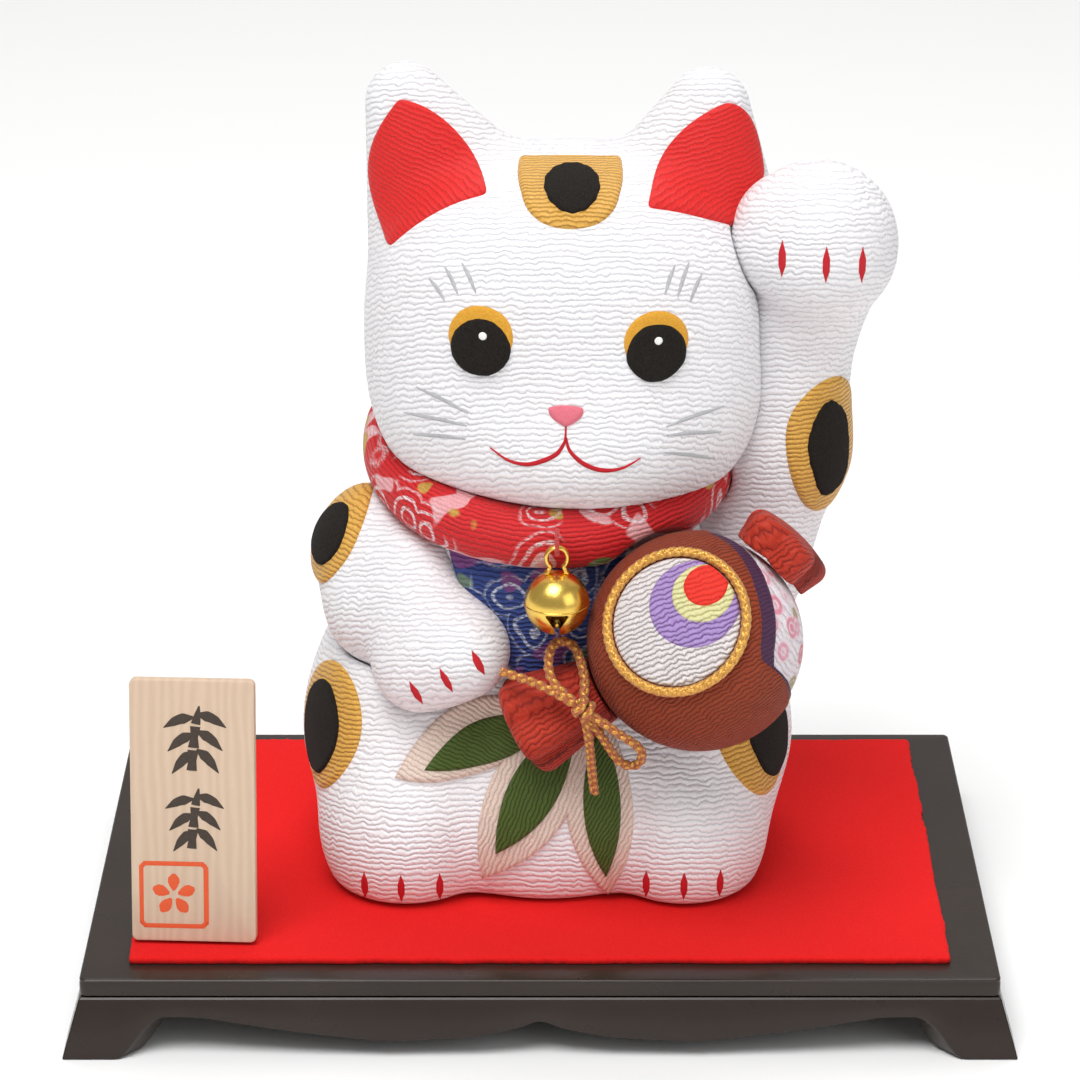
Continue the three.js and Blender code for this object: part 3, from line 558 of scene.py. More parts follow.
def add_strokes(name, strokes, field, look, replaces=(), lift=0.12):
    points, faces, _ = joined([stroke(path, widths, FRONT, field, lift) for path, widths in strokes])
    return add_mesh(name, points, faces, look, replaces, points)


# ---- cords ----

def path_frames(path, closed=False):
    """Two directions across a path at each of its points, without twist."""
    run = np.roll(path, -1, axis=0) - np.roll(path, 1, axis=0) if closed else np.gradient(path, axis=0)
    run /= np.linalg.norm(run, axis=1, keepdims=True)
    normal = np.empty_like(path)
    normal[0] = unit(np.cross(run[0], vec(0.31, 0.52, 0.79)))
    for i in range(1, len(path)):
        normal[i] = unit(normal[i - 1] - run[i] * (normal[i - 1] @ run[i]))
    return normal, np.cross(run, normal)


def swept(path, a, b, sides, closed=False):
    """An oval section with half axes a and b, swept along a path."""
    angle = around(sides)
    rings = path[:, None] + a[:, None] * np.cos(angle)[:, None] + b[:, None] * np.sin(angle)[:, None]
    return lofted(list(rings), closed)


def braid(path, radius, pitch, strands=4, closed=False, sides=7):
    """Strands that weave over and under along a path: half turn one way and half the other."""
    run = lengths_along(path)
    if closed:
        whole = run[-1] + np.linalg.norm(path[0] - path[-1])
        pitch = whole / max(1, round(whole / pitch))
    normal, across = path_frames(path, closed)
    thick = radius * 0.52
    pieces = []
    for k in range(strands):
        way = 1 if k % 2 else -1
        angle = way * (WHOLE_TURN * run / pitch + WHOLE_TURN * (k // 2) / (strands / 2))
        off = (radius - thick) * (1 + 0.16 * way * np.cos(strands * math.pi * 2 * run / pitch))
        line = path + normal * (off * np.cos(angle))[:, None] + across * (off * np.sin(angle))[:, None]
        strand_normal, strand_across = path_frames(line, closed)
        pieces.append(swept(line, strand_normal * thick, strand_across * thick, sides, closed))
    return pieces


# ---- materials ----

class Graph:
    """A material's nodes, added one call at a time."""

    def __init__(self, name, roughness=0.6, **sockets):
        self.material = bpy.data.materials.new(name)
        self.material.use_nodes = True
        self.tree = self.material.node_tree
        self.shader = self.tree.nodes["Principled BSDF"]
        self.shader.inputs["Roughness"].default_value = roughness
        for key, value in sockets.items():
            self.shader.inputs[key.replace("_", " ")].default_value = value

    def node(self, kind, inputs=(), **settings):
        node = self.tree.nodes.new("ShaderNode" + kind)
        for key, value in settings.items():
            setattr(node, key, value)
        for key, value in dict(inputs).items():
            self.plug(value, node.inputs[key])
        return node

    def plug(self, value, socket):
        if isinstance(value, bpy.types.NodeSocket):
            self.tree.links.new(value, socket)
        else:
            socket.default_value = value

    def math(self, operation, a, b=0.0, c=0.0):
        return self.node("Math", {0: a, 1: b, 2: c}, operation=operation).outputs[0]

    def add(self, a, b):
        return self.math("ADD", a, b)

    def times(self, a, b, plus=None):
        return self.math("MULTIPLY", a, b) if plus is None else self.math("MULTIPLY_ADD", a, b, plus)

    def place(self):
        """The place on the object, in millimetres."""
        return self.scaled(self.node("TexCoord").outputs["Object"], 1 / MM)

    def cloth(self):
        return self.node("Attribute", attribute_name="cloth").outputs["Vector"]

    def scaled(self, vector, scale, location=(0, 0, 0), rotation=(0, 0, 0)):
        scale = scale if isinstance(scale, tuple) else (scale,) * 3
        settings = {"Vector": vector, "Scale": scale, "Location": location, "Rotation": rotation}
        return self.node("Mapping", settings).outputs[0]

    def split(self, vector):
        return self.node("SeparateXYZ", {0: vector}).outputs

    def join(self, x, y, z=0.0):
        return self.node("CombineXYZ", {0: x, 1: y, 2: z}).outputs[0]

    def noise(self, vector, scale=1.0, detail=2.0, rough=0.5):
        settings = {"Vector": vector, "Scale": scale, "Detail": detail, "Roughness": rough}
        return self.node("TexNoise", settings).outputs[0]

    def cells(self, vector):
        return self.node("TexVoronoi", {"Vector": vector, "Scale": 1.0}, feature="F1").outputs

    def ramp(self, value, *stops):
        node = self.node("ValToRGB", {0: value})
        elements = node.color_ramp.elements
        while len(elements) < len(stops):
            elements.new(0.5)
        for element, (position, colour) in zip(elements, stops):
            element.position = position
            element.color = (*colour, 1) if isinstance(colour, tuple) else (colour,) * 3 + (1,)
        return node.outputs[0]

    def mix(self, factor, a, b, blend="MIX"):
        node = self.node("Mix", data_type="RGBA", blend_type=blend)
        self.plug(factor, node.inputs[0])
        for socket, value in ((node.inputs[6], a), (node.inputs[7], b)):
            self.plug((*value, 1) if isinstance(value, tuple) else value, socket)
        return node.outputs[2]

    def bump(self, height, depth_mm, strength=1.0, after=None):
        inputs = {"Height": height, "Distance": depth_mm * MM, "Strength": strength}
        if after is not None:
            inputs["Normal"] = after
        return self.node("Bump", inputs).outputs[0]

    def finish(self, colour, normal=None, roughness=None):
        colour = (*colour, 1) if isinstance(colour, tuple) else colour
        for value, socket in ((colour, "Base Color"), (normal, "Normal"), (roughness, "Roughness")):
            if value is not None:
                self.plug(value, self.shader.inputs[socket])
        return self.material


def crepe_height(g, cloth, pitch, wave):
    """Crepe ridges along the cloth's X: each one wanders, and its neighbours follow it."""
    x, y, z = g.split(cloth)

    def stretched(along, across):
        return g.noise(g.join(g.times(x, along), g.times(y, across), g.times(z, along)))
    bend = g.add(g.times(stretched(0.17, 0.12), wave * 4.4, -wave * 2.2),
                 g.times(stretched(0.62, 0.3), wave * 3.6, -wave * 1.8))
    turn = g.times(g.add(y, bend), WHOLE_TURN / pitch)
    ridge = g.math("POWER", g.times(g.math("SINE", turn), 0.5, 0.5), 0.55)
    return g.times(ridge, g.times(stretched(0.5, 1.0), 0.8, 0.55))


def thread_height(g, cloth, pitch=CLOTH_PITCH):
    """Fine twisted threads that cross the ridges."""
    x, y, z = g.split(cloth)
    return g.noise(g.join(g.times(x, 1 / pitch), g.times(y, 0.35 / pitch), g.times(z, 1 / pitch)), rough=0.6)


def crepe(name, high, low, pitch, wave, depth, roughness=0.6, sheen=0.1, pattern=None, tint=None, thread_shade=0.16):
    """Crepe cloth: wavy ridges, their narrow valleys darker as painted shade, fine threads with painted shade
    between them, and a silky sheen.
    """
    g = Graph(name, roughness, Sheen_Weight=sheen, Sheen_Roughness=0.4, Specular_IOR_Level=0.3)
    cloth = g.cloth()
    ridge = crepe_height(g, cloth, pitch, wave)
    thread = thread_height(g, cloth)
    # Painted shade: the valleys take the darker colour and the ridge tops the lighter one.
    colour = g.mix(g.ramp(ridge, (0.08, 0.0), (0.52, 1.0)), low, high)
    if pattern:
        colour = pattern(g, cloth, colour)
    if tint:
        patchy = g.noise(g.scaled(cloth, 0.045))
        tinted = g.mix(1.0, colour, tint, "MULTIPLY")
        colour = g.mix(g.ramp(patchy, (0.42, 0.0), (0.66, 0.75)), colour, tinted)
    # Painted shade in the gaps between the fine threads, darkening them towards black.
    colour = g.mix(g.times(g.ramp(thread, (0.42, 1.0), (0.62, 0.0)), thread_shade), colour, (0, 0, 0))
    return g.finish(colour, g.bump(ridge, depth, 1.0, g.bump(thread, 0.08, 0.6)))


def felt(name, high, low, fuzz, sheen):
    """Cloth with a short nap: no ridges, only fine fibres."""
    g = Graph(name, 0.95, Sheen_Weight=sheen, Sheen_Roughness=0.6, Specular_IOR_Level=0.08)
    place = g.place()
    fibre = g.noise(place, 2.4, 4.0, 0.75)
    colour = g.mix(g.ramp(fibre, (0.3, 0.0), (0.7, 1.0)), low, high)
    colour = g.mix(g.times(g.noise(place, 0.09, 3.0), 0.18), colour, low)
    return g.finish(colour, g.bump(fibre, fuzz, 0.8))


def lacquer(name):
    g = Graph(name, 0.3, Coat_Weight=0.15, Coat_Roughness=0.1, Specular_IOR_Level=0.28)
    place = g.place()
    grain = g.noise(g.scaled(place, (0.02, 0.5, 0.5)), 1.0, 3.0)
    colour = g.mix(g.noise(place, 0.05, 3.0), (0.020, 0.012, 0.009), (0.034, 0.023, 0.018))
    colour = g.mix(g.times(grain, 0.25), colour, (0.04, 0.03, 0.025))
    rough = g.times(g.noise(place, 0.2, 3.0), 0.16, 0.22)
    return g.finish(colour, g.bump(g.noise(place, 0.45), 0.03, 0.5), rough)


def wood(name):
    g = Graph(name, 0.62, Specular_IOR_Level=0.3)
    place = g.place()
    bend = g.noise(g.scaled(place, (0.12, 0.12, 0.02)))
    rings = g.math("SINE", g.times(g.add(g.split(place)[0], g.times(bend, 6.0)), 3.1))
    fibre = g.noise(g.scaled(place, (5.0, 5.0, 0.16)), 1.0, 3.0, 0.6)
    colour = g.mix(g.times(rings, 0.22, 0.4), (0.72, 0.56, 0.43), (0.58, 0.43, 0.31))
    colour = g.mix(g.times(fibre, 0.3), colour, (0.52, 0.34, 0.2))
    return g.finish(colour, g.bump(fibre, 0.05, 0.5))


def metal(name):
    g = Graph(name, 0.12, Metallic=1.0)
    place = g.place()
    cloud = g.noise(place, 0.5, 3.0)
    colour = g.mix(cloud, (0.86, 0.56, 0.10), (0.94, 0.66, 0.16))
    scratch = g.noise(g.scaled(place, (0.8, 0.8, 9.0)), 1.0, 3.0, 0.7)
    return g.finish(colour, g.bump(scratch, 0.012, 0.3), g.times(cloud, 0.14, 0.19))


def yarn(name, high, low, metallic=0.0, roughness=0.45):
    """Silky or metallic yarn, with fine filaments round it."""
    g = Graph(name, roughness, Metallic=metallic, Sheen_Weight=0.3, Specular_IOR_Level=0.6)
    fine = g.noise(g.scaled(g.place(), (3.4, 3.4, 1.6), (0, 0, 0), (0.6, 0.3, 0.2)), 1.0, 3.0, 0.7)
    return g.finish(g.mix(g.ramp(fine, (0.35, 0.0), (0.62, 1.0)), low, high), g.bump(fine, 0.1, 0.7))


def paint(name, colour, darker):
    g = Graph(name, 0.7, Specular_IOR_Level=0.25)
    patchy = g.noise(g.place(), 1.6, 3.0, 0.6)
    return g.finish(g.mix(patchy, darker, colour), g.bump(patchy, 0.05, 0.4))


# ---- printed patterns ----

def line_mask(g, value, width):
    """1 where a value is within width of a whole number."""
    middle = g.math("ABSOLUTE", g.math("SUBTRACT", g.math("FRACT", value), 0.5))
    return g.ramp(middle, (0.5 - width * 1.5, 0.0), (0.5 - width * 0.7, 1.0))


def wave_print(cell, line, spread, fill):
    """Nested petals and waves drawn in thin lines, in clusters, with some filled patches."""
    def pattern(g, cloth, colour):
        warp = g.noise(g.scaled(cloth, 0.12))
        bend = g.join(g.times(warp, 5.0), g.times(warp, -4.0))
        moved = g.node("VectorMath", {0: cloth, 1: bend}, operation="ADD").outputs[0]
        distance = g.cells(g.scaled(moved, 1 / cell))["Distance"]
        rings = line_mask(g, g.times(distance, 5.0), 0.15)
        inside = g.ramp(distance, (0.56, 1.0), (0.64, 0.0))
        cluster = g.noise(g.scaled(cloth, 0.085, (3.1, 0, 0)), 1.0, 1.0)
        mask = g.times(g.times(rings, inside), g.ramp(cluster, (spread, 0.0), (spread + 0.06, 1.0)))
        scratchy = g.ramp(g.noise(g.scaled(cloth, (1.1, 3.2, 1.1))), (0.40, 0.12), (0.58, 1.0))
        for area, (shade, low, place) in enumerate(fill):
            spot = g.noise(g.scaled(cloth, 0.11, (place, area * 7.0, 0)), 1.0, 1.0)
            colour = g.mix(g.ramp(spot, (low, 0.0), (low + 0.02, 0.95)), colour, shade)
        return g.mix(g.times(mask, scratchy), colour, line)
    return pattern


def petal_print(*shades):
    """Soft petals in a few shades, drawn close together."""
    def pattern(g, cloth, base):
        cells = g.cells(g.scaled(cloth, (0.2, 0.25, 0.2)))
        shade = g.ramp(g.split(cells["Color"])[0], *[(k / len(shades), s) for k, s in enumerate(shades)])
        inside = g.ramp(cells["Distance"], (0.42, 1.0), (0.6, 0.0))
        veins = line_mask(g, g.times(cells["Distance"], 4.0), 0.16)
        return g.mix(g.times(veins, 0.6), g.mix(inside, base, shade), (0.9, 0.82, 0.86))
    return pattern


PRINTS = dict(
    collar=wave_print(9.0, (0.90, 0.80, 0.82), 0.44, [
        ((0.86, 0.42, 0.44), 0.60, 5.0), ((0.60, 0.36, 0.07), 0.66, 0.0), ((0.12, 0.25, 0.07), 0.70, 9.0)]),
    bib=wave_print(8.0, (0.66, 0.73, 0.86), 0.40, [
        ((0.22, 0.07, 0.26), 0.60, 0.0), ((0.17, 0.26, 0.18), 0.63, 4.0), ((0.5, 0.48, 0.5), 0.66, 11.0)]),
    mallet=petal_print((0.80, 0.20, 0.30), (0.84, 0.45, 0.55), (0.76, 0.14, 0.24), (0.36, 0.40, 0.16),
                       (0.90, 0.84, 0.88), (0.82, 0.30, 0.40)),
)

# Name, the ridges' colour, the valleys' colour darkened as painted shade, ridge pitch, wave and depth,
# roughness and sheen.
CREPES = [
    ("ear_red_crepe", (0.76, 0.02, 0.018), (0.60, 0.012, 0.012), 0.95, 0.3, 0.14),
    ("gold_crepe", (0.80, 0.44, 0.085), (0.50, 0.23, 0.025), 0.95, 0.3, 0.28, 0.45, 0.2),
    ("brown_crepe", (0.31, 0.045, 0.011), (0.16, 0.018, 0.005), 0.9, 0.4, 0.3, 0.65, 0.06),
    ("purple_crepe", (0.075, 0.022, 0.07), (0.035, 0.01, 0.035), 0.85, 0.2, 0.15),
    ("medallion_crepe", (0.86, 0.80, 0.80), (0.42, 0.36, 0.35), 1.0, 0.42, 0.36),
    ("lilac_crepe", (0.45, 0.30, 0.64), (0.21, 0.10, 0.36), 1.0, 0.42, 0.36),
    ("lime_crepe", (0.80, 0.77, 0.40), (0.52, 0.47, 0.16), 1.0, 0.38, 0.28),
    ("medallion_red_crepe", (0.84, 0.028, 0.012), (0.66, 0.016, 0.008), 1.0, 0.35, 0.16),
    ("orange_crepe", (0.52, 0.034, 0.012), (0.31, 0.015, 0.006), 1.05, 0.4, 0.34),
    ("cream_crepe", (0.84, 0.68, 0.58), (0.66, 0.48, 0.40), 0.95, 0.3, 0.22),
    ("green_crepe", (0.075, 0.125, 0.018), (0.025, 0.05, 0.006), 0.8, 0.3, 0.22),
    ("collar_print", (0.70, 0.018, 0.022), (0.46, 0.008, 0.011), 0.95, 0.25, 0.22, 0.6, 0.1,
     PRINTS["collar"]),
    ("bib_print", (0.035, 0.07, 0.28), (0.012, 0.026, 0.13), 0.95, 0.3, 0.26, 0.6, 0.1, PRINTS["bib"]),
    ("mallet_print", (0.90, 0.84, 0.88), (0.68, 0.58, 0.64), 0.95, 0.3, 0.24, 0.6, 0.1, PRINTS["mallet"]),
]
# Name, colour, darker colour, depth of the nap and sheen.
FELTS = [
    ("black_cloth", (0.028, 0.023, 0.02), (0.008, 0.007, 0.006), 0.16, 0.03),
    ("eye_yellow_cloth", (0.78, 0.42, 0.06), (0.60, 0.27, 0.02), 0.12, 0.1),
    ("nose_pink_cloth", (0.76, 0.20, 0.25), (0.66, 0.14, 0.19), 0.05, 0.1),
    ("red_felt", (0.80, 0.016, 0.016), (0.66, 0.010, 0.010), 0.1, 0.02),
]
# Name, colour, darker colour, and how metallic and rough the yarn is.
YARNS = [
    ("gold_yarn", (0.86, 0.47, 0.09), (0.50, 0.21, 0.025), 0.55, 0.34),
    ("orange_yarn", (0.50, 0.145, 0.03), (0.30, 0.065, 0.012), 0.1, 0.5),
    ("red_thread", (0.62, 0.03, 0.03), (0.36, 0.012, 0.012)),
]
PAINTS = [
    ("claw_red", (0.62, 0.02, 0.03), (0.45, 0.012, 0.02)),
    ("mouth_red", (0.56, 0.014, 0.024), (0.40, 0.008, 0.016)),
    ("whisker_grey", (0.30, 0.31, 0.33), (0.62, 0.62, 0.64)),
    ("eye_highlight", (0.92, 0.92, 0.90), (0.8, 0.8, 0.78)),
    ("tag_ink", (0.085, 0.062, 0.05), (0.045, 0.034, 0.028)),
    ("stamp_orange", (0.80, 0.13, 0.045), (0.68, 0.09, 0.03)),
]
# The white crepe's second colour is its valleys' colour, darker and lavender as painted shade.
LOOKS = {"white_crepe": crepe("white_crepe", (0.93, 0.925, 0.945), (0.74, 0.73, 0.77), 1.15, 0.42, 0.24,
                              0.5, 0.2, tint=(1, 0.965, 0.965), thread_shade=0.07)}
for make, rows in ((crepe, CREPES), (felt, FELTS), (yarn, YARNS), (paint, PAINTS),
                   (lacquer, [["black_lacquer"]]), (wood, [["pale_wood"]]), (metal, [["polished_gold"]])):
    LOOKS.update({row[0]: make(*row) for row in rows})


# ---- the stand ----

def apron_edge(half, x):
    """The scalloped lower edge along one apron: its height at each distance from the middle."""
    inner, arch, lobe = half - 12.0, 8.0, 3.4
    shoulder = inner - 13.0
    keys_x = [0, shoulder * 0.07, shoulder * 0.2, shoulder * 0.45, shoulder * 0.72, shoulder,
              inner - 5, inner - 1.6, inner]
    keys_z = [arch - 0.5, arch - 2.2, lobe + 0.8, lobe, lobe + 1.9, arch, arch + 0.1, arch - 3.0, 0.0]
    z = np.interp(np.abs(x), keys_x, keys_z)
    for _ in range(3):
        z = np.concatenate([z[:1], (z[:-2] + 2 * z[1:-1] + z[2:]) / 4, z[-1:]])
    return z


def build_apron(side, half_length, half_depth, turns):
    """A flared, mitred board with a scalloped edge and eased corners."""
    columns, thick, ease, mitre_gap = 241, 5, 0.45, 0.15
    under = BOARD["top"] - BOARD["thick"]
    top = under - GAP
    s = np.linspace(-1, 1, columns)
    edge = apron_edge(half_length + BOARD["flare"], s * (half_length + BOARD["flare"] - 0.3))
    low = [(0, ease), (0.12 * ease, 0.3 * ease), (0.5 * ease, 0.05 * ease), (1.4 * ease, 0),
           (thick - 1.4 * ease, 0), (thick, ease)]
    section = [(depth, edge + rise) for depth, rise in low]
    section += [(depth, np.full(columns, top - drop)) for depth, drop in ((thick, 0), (0.3, 0), (0, 0.3))]
    points = []
    for depth, z in section:
        out = BOARD["flare"] / under * (under - z) - depth
        x, y = turned(s * (half_length + out - mitre_gap), -(half_depth + out), -90 * turns)
        points.append(np.stack([x, y, z], axis=1))
    rows = len(section)
    faces = grid_faces(rows, columns, ring_rows=True, ring_columns=False, flip=True)
    faces.append(tuple(a * columns for a in range(rows)))
    faces.append(tuple(a * columns + columns - 1 for a in range(rows))[::-1])
    node = f"stand_{side}_apron"
    points = np.concatenate(points)
    smooth_by_angle(add_mesh(f"{node}_lacquered", points, faces, "black_lacquer", node, body="stand"), 35)


def rounded_box(half_x, half_y, radius, count=10):
    """A rectangle's outline with round corners."""
    points = []
    for k, (sx, sy) in enumerate(((1, 1), (-1, 1), (-1, -1), (1, -1))):
        angle = np.linspace(k * math.pi / 2, (k + 1) * math.pi / 2, count)
        points.append(np.stack([sx * (half_x - radius) + radius * np.cos(angle),
                                sy * (half_y - radius) + radius * np.sin(angle)], axis=1))
    return np.concatenate(points)


def level(outline, z):
    return np.column_stack([outline, np.full(len(outline), z)])


def build_board():
    """The board, with a small bead round its edge."""
    top, thick = BOARD["top"], BOARD["thick"]
    steps = [(-0.5, -thick), (-0.1, -thick + 0.15), (0.0, -thick + 0.5), (0.0, -0.95), (-0.1, -0.7),
             (-0.1, -0.5), (-0.05, -0.25), (-0.25, -0.06), (-0.6, 0.0), (-4.0, 0.0)]
    rings = [level(rounded_box(BOARD["x"] + out, BOARD["y"] + out, max(1.4 + out, 0.4)), top + z)
             for out, z in steps]
    points, faces = lofted(rings)
    smooth_by_angle(add_mesh("stand_board_lacquered", points, faces, "black_lacquer", "stand_top_board",
                             body="stand"), 50)


def build_mat():
    """Felt with a cut edge that waves and frays a little, lying on the board."""
    half_x, half_y = MAT["width"] / 2, MAT["depth"] / 2
    count, high = 620, 1.45
    outline = resampled(rounded_box(half_x - 0.2, half_y - 0.2, 0.8), count)
    fray = rng.normal(size=count)
    waves = np.convolve(np.tile(fray, 3), np.ones(9) / 3, "same")[count:2 * count]
    outward = outline / np.linalg.norm(outline, axis=1, keepdims=True)
    edge = outline + outward * np.clip(0.10 * fray + 0.12 * waves, -0.5, 0.2)[:, None]
    rings = []
    for inset, z in [(0.25, 0.0), (0.0, 0.25), (0.0, 0.95), (0.22, 1.25), (0.6, 1.4), (1.6, high),
                     (6.0, high + 0.01), (20, high + 0.01), (45, high + 0.01)]:
        share = vec((half_x - inset) / half_x, (half_y - inset) / half_y)
        uneven = 0.04 * rng.normal(size=count) * (0 < z < high)
        rings.append(np.column_stack([edge * share, BOARD["top"] + 0.02 + z + uneven]))
    points, faces = lofted(rings)
    points[:, 1] += MAT["y"]
    mat = add_mesh("felt_mat_cloth", points, faces, "red_felt", "felt_mat", body="stand")


# ---- the tag ----

def tag_place(x, depth, height):
    """From the tag's own X, thickness and height to the frame."""
    y, z = turned(depth, height, TAG["lean"])
    x, y = turned(x, y, -TAG["turn"])
    return np.stack([x + TAG["x"], y + TAG["y"], z + FLOOR + TAG_CLEARANCE], axis=1)


def recolour(node, look):
    materials = frame["nodes"][node].data.materials
    materials.clear()
    materials.append(LOOKS[look])


def build_tag():
    half, middle, thick, ease = TAG["width"] / 2, TAG["height"] / 2, TAG["thick"], 0.4
    rings = [level(rounded_box(half - inset, middle - inset, 1.2), y) for inset, y in
             [(0.5, 0.0), (0.12, 0.1), (0.0, ease), (0.0, thick - ease), (0.12, thick - 0.1), (0.5, thick)]]
    points, faces = lofted(rings[::-1])
    points = tag_place(points[:, 0], points[:, 2], points[:, 1] + middle)
    smooth_by_angle(add_mesh("tag_plate_wood", points, faces, "pale_wood", "tag_plate", body="tag"), 40)
    recolour("tag_prop", "pale_wood")
    add_marks("tag_ink_marks", bamboo(0.7, 41.5, 1.6) + bamboo(0.5, 25.2, 1.5), 10, "tag_ink")
    add_marks("tag_stamp_mark", stamp(-3.9, 9.6, 6.4), 4, "stamp_orange")


def add_marks(name, marks, steps, look):
    """Brush marks on the front of the tag, each a path and its widths."""
    pieces = []
    for path, widths in marks:
        flat, faces, count = ribbon(path, widths, (1, 0, -1), steps)
        pieces.append((tag_place(flat[:, 0], np.repeat([-0.03, -0.09, -0.03], count), flat[:, 1]), faces))
    points, faces, _ = joined(pieces)
    add_mesh(name, points, faces, look, cloth=points, body="tag")


def halfway(a, b, up=0.0):
    return (a[0] + b[0]) / 2, (a[1] + b[1]) / 2 + up


def bamboo(x, z, s):
    """A brush-drawn bamboo sprig of size s: a jointed stem and pointed leaves."""
    marks = [([(x - 0.5 * s, z - 4 * s), (x - 0.3 * s, z - 1.4 * s)], (1.3 * s, 1.0 * s, 1.4 * s)),
             ([(x - 0.25 * s, z - 1.1 * s), (x, z + 1.6 * s)], (1.4 * s, 0.9 * s, 1.3 * s)),
             ([(x + 0.05 * s, z + 1.9 * s), (x + 0.5 * s, z + 4.2 * s)], (1.2 * s, 0.8 * s, 0.2 * s))]
    leaves = [(-0.15, 2.4, 200), (-0.15, 0.1, 215), (0.15, 2.9, -25), (0.15, 0.5, -38), (0.15, -2.1, -48),
              (-0.15, -2.4, 226)]
    for out, up, angle in leaves:
        start = (x + out * s, z + up * s * 0.9 + 0.6 * s)
        end = (start[0] + 4.0 * s * math.cos(math.radians(angle)),
               start[1] + 4.0 * s * math.sin(math.radians(angle)))
        marks.append(([start, halfway(start, end, 0.35 * s), end], (0.25 * s, 1.35 * s, 1.1 * s, 0.1 * s)))
    return marks


def stamp(x, z, half):
    """A rounded frame with a five-petalled flower in it."""
    line = rounded_box(half, half, 1.2, 6) + vec(x, z)
    marks = [(np.vstack([line, line[:1]]), (1.0, 0.85, 1.0))]
    for k in range(5):
        ray = vec(math.cos(math.radians(90 + 72 * k)), math.sin(math.radians(90 + 72 * k)))
        marks.append(([vec(x, z) + ray * 0.9, vec(x, z) + ray * half * 0.68], (0.5, 2.0, 2.7, 0.6)))
    return marks


# ---- the cat ----

def wrapped(lean, fold):
    """Ridges across the front, leaning back over the top, and folding over behind the line y = fold."""
    def cloth(p):
        return np.stack([p[:, 0], turned(np.abs(p[:, 1] - fold), p[:, 2], lean)[1], p[:, 1]], axis=1)
    return cloth


def trunk(p):
    neighbours = (resting_arm_field, raised_arm_field, drum_field, *HANDLES, tail_field, collar_field)
    shape = smooth_max(carved(body_field, 1.6, *neighbours)(p), neck_height(p) + 0.2, 1.0)
    return smooth_max(shape, FLOOR - p[..., 2], 2.2)


def skull(p):
    return smooth_max(carved(head_field, 1.0, raised_arm_field, collar_field)(p), 0.2 - neck_height(p), 3.0)


def build_skins():
    resting = carved(resting_arm_field, 1.4, collar_field, *HANDLES, drum_field)
    raised = carved(raised_arm_field, 1.0, collar_field, drum_field, *HANDLES)
    for name, field, node, lean, fold, step, low in (
            ("body", trunk, "body_core", 14, 14, 1.0, FLOOR),
            ("head", skull, "head_core", 24, 12, 0.9, -FAR),
            ("resting_arm", resting, "resting_arm", 24, 30, 0.8, -FAR),
            ("raised_arm", raised, "raised_arm", 14, 30, 0.8, -FAR),
            ("tail", tail_field, "tail", 30, 60, 0.8, -FAR)):
        add_skin(f"{name}_skin", field, node, "white_crepe", wrapped(lean, fold), step, low)


def spot(name, place, gold, black, field):
    """A gold patch with a smaller black oval on it, its edge a little frayed."""
    add_patch(f"{name}_gold_cloth", gold, place, field, "gold_crepe", f"spot_{name}_gold")
    add_patch(f"{name}_black_cloth", oval(*black, 0.16), place, field, "black_cloth", f"spot_{name}_black",
              lift=1.4, rim=0.8)


# Name, centre, the way it faces, turn, gold oval, black oval and the field that it lies on.
ROUND_SPOTS = [
    ("shoulder", (-41.7, -3.8, 87.5), (-0.8, -0.55, 0.2), 0, (8.8, 10.2), (5.6, 6.3, 0.9, 0),
     resting_arm_field),
    ("arm", (57.5, -3, 106.3), (0.66, -0.75, 0), 5, (10, 14.8), (5.6, 10.4, -0.6, -0.3), raised_arm_field),
    ("left_haunch", (-43.1, -13.2, 49.8), (-0.8, -0.58, 0.15), 9, (12.2, 13), (8, 9.7, -1, -0.6), body_field),
    ("right_haunch", (43.8, -16.2, 49.7), (0.75, -0.65, 0.12), 0, (12, 13), (8, 9.5, 3, -0.8), body_field),
]
FOREHEAD = [(-10, 12.6, 0, 13.2), (10, 12.6, 10.8, 4), (9.6, -0.5, 8.8, -9.2), (0, -9.2, -8.8, -9.2),
            (-9.6, -0.5, -10.8, 4)]


def build_spots():
    spot("forehead", facing((5.9, -13, 162.3), (0, -0.48, 0.88)), softened_outline(FOREHEAD),
         (5.6, 7.3, 0.3, 0.8), head_field)
    for name, centre, normal, turn, gold, black, field in ROUND_SPOTS:
        spot(name, facing(centre, normal, turn), oval(*gold), black, field)


LEFT_EAR = [(-27.5, 176.3, -17.5, 175), (-9.8, 160.9, -21.5, 158.7), (-29.6, 148.9, -39, 162.4)]
RIGHT_EAR = [(36.3, 175.4, 42.5, 175), (44.2, 160.3, 41.5, 156.5), (37.8, 152.7, 29, 157.9),
             (20.5, 158.9, 24.8, 171.5)]


def build_ears():
    for side, weave, corners in (("left", -22, LEFT_EAR), ("right", 14, RIGHT_EAR)):
        add_patch(f"ear_{side}_cloth", softened_outline(corners), FRONT, head_field, "ear_red_crepe",
                  f"ear_{side}_panel", weave=weave)


def build_eye(name, x, z):
    add_patch(f"{name}_iris", oval(6.35, 6.05, x, z + 2.1, 0.03), FRONT, head_field, "eye_yellow_cloth",
              f"{name}_yellow", lift=0.6, rings=14)
    add_patch(f"{name}_pupil", oval(5.9, 5.9, x, z, 0.06), FRONT, head_field, "black_cloth", f"{name}_black",
              lift=1.3, rim=1.6, rings=16)
    add_patch(f"{name}_highlight", oval(0.85, 0.85, x + 0.4, z + 2.6), FRONT, grown(head_field, 1.32),
              "eye_highlight", lift=0.3, rim=0.5, count=32, rings=5, tuck=0.1)


NOSE = [(1.6, 123.0, 5, 123.9), (8.4, 123.0, 9.0, 121), (5, 119.4, 1.0, 121)]
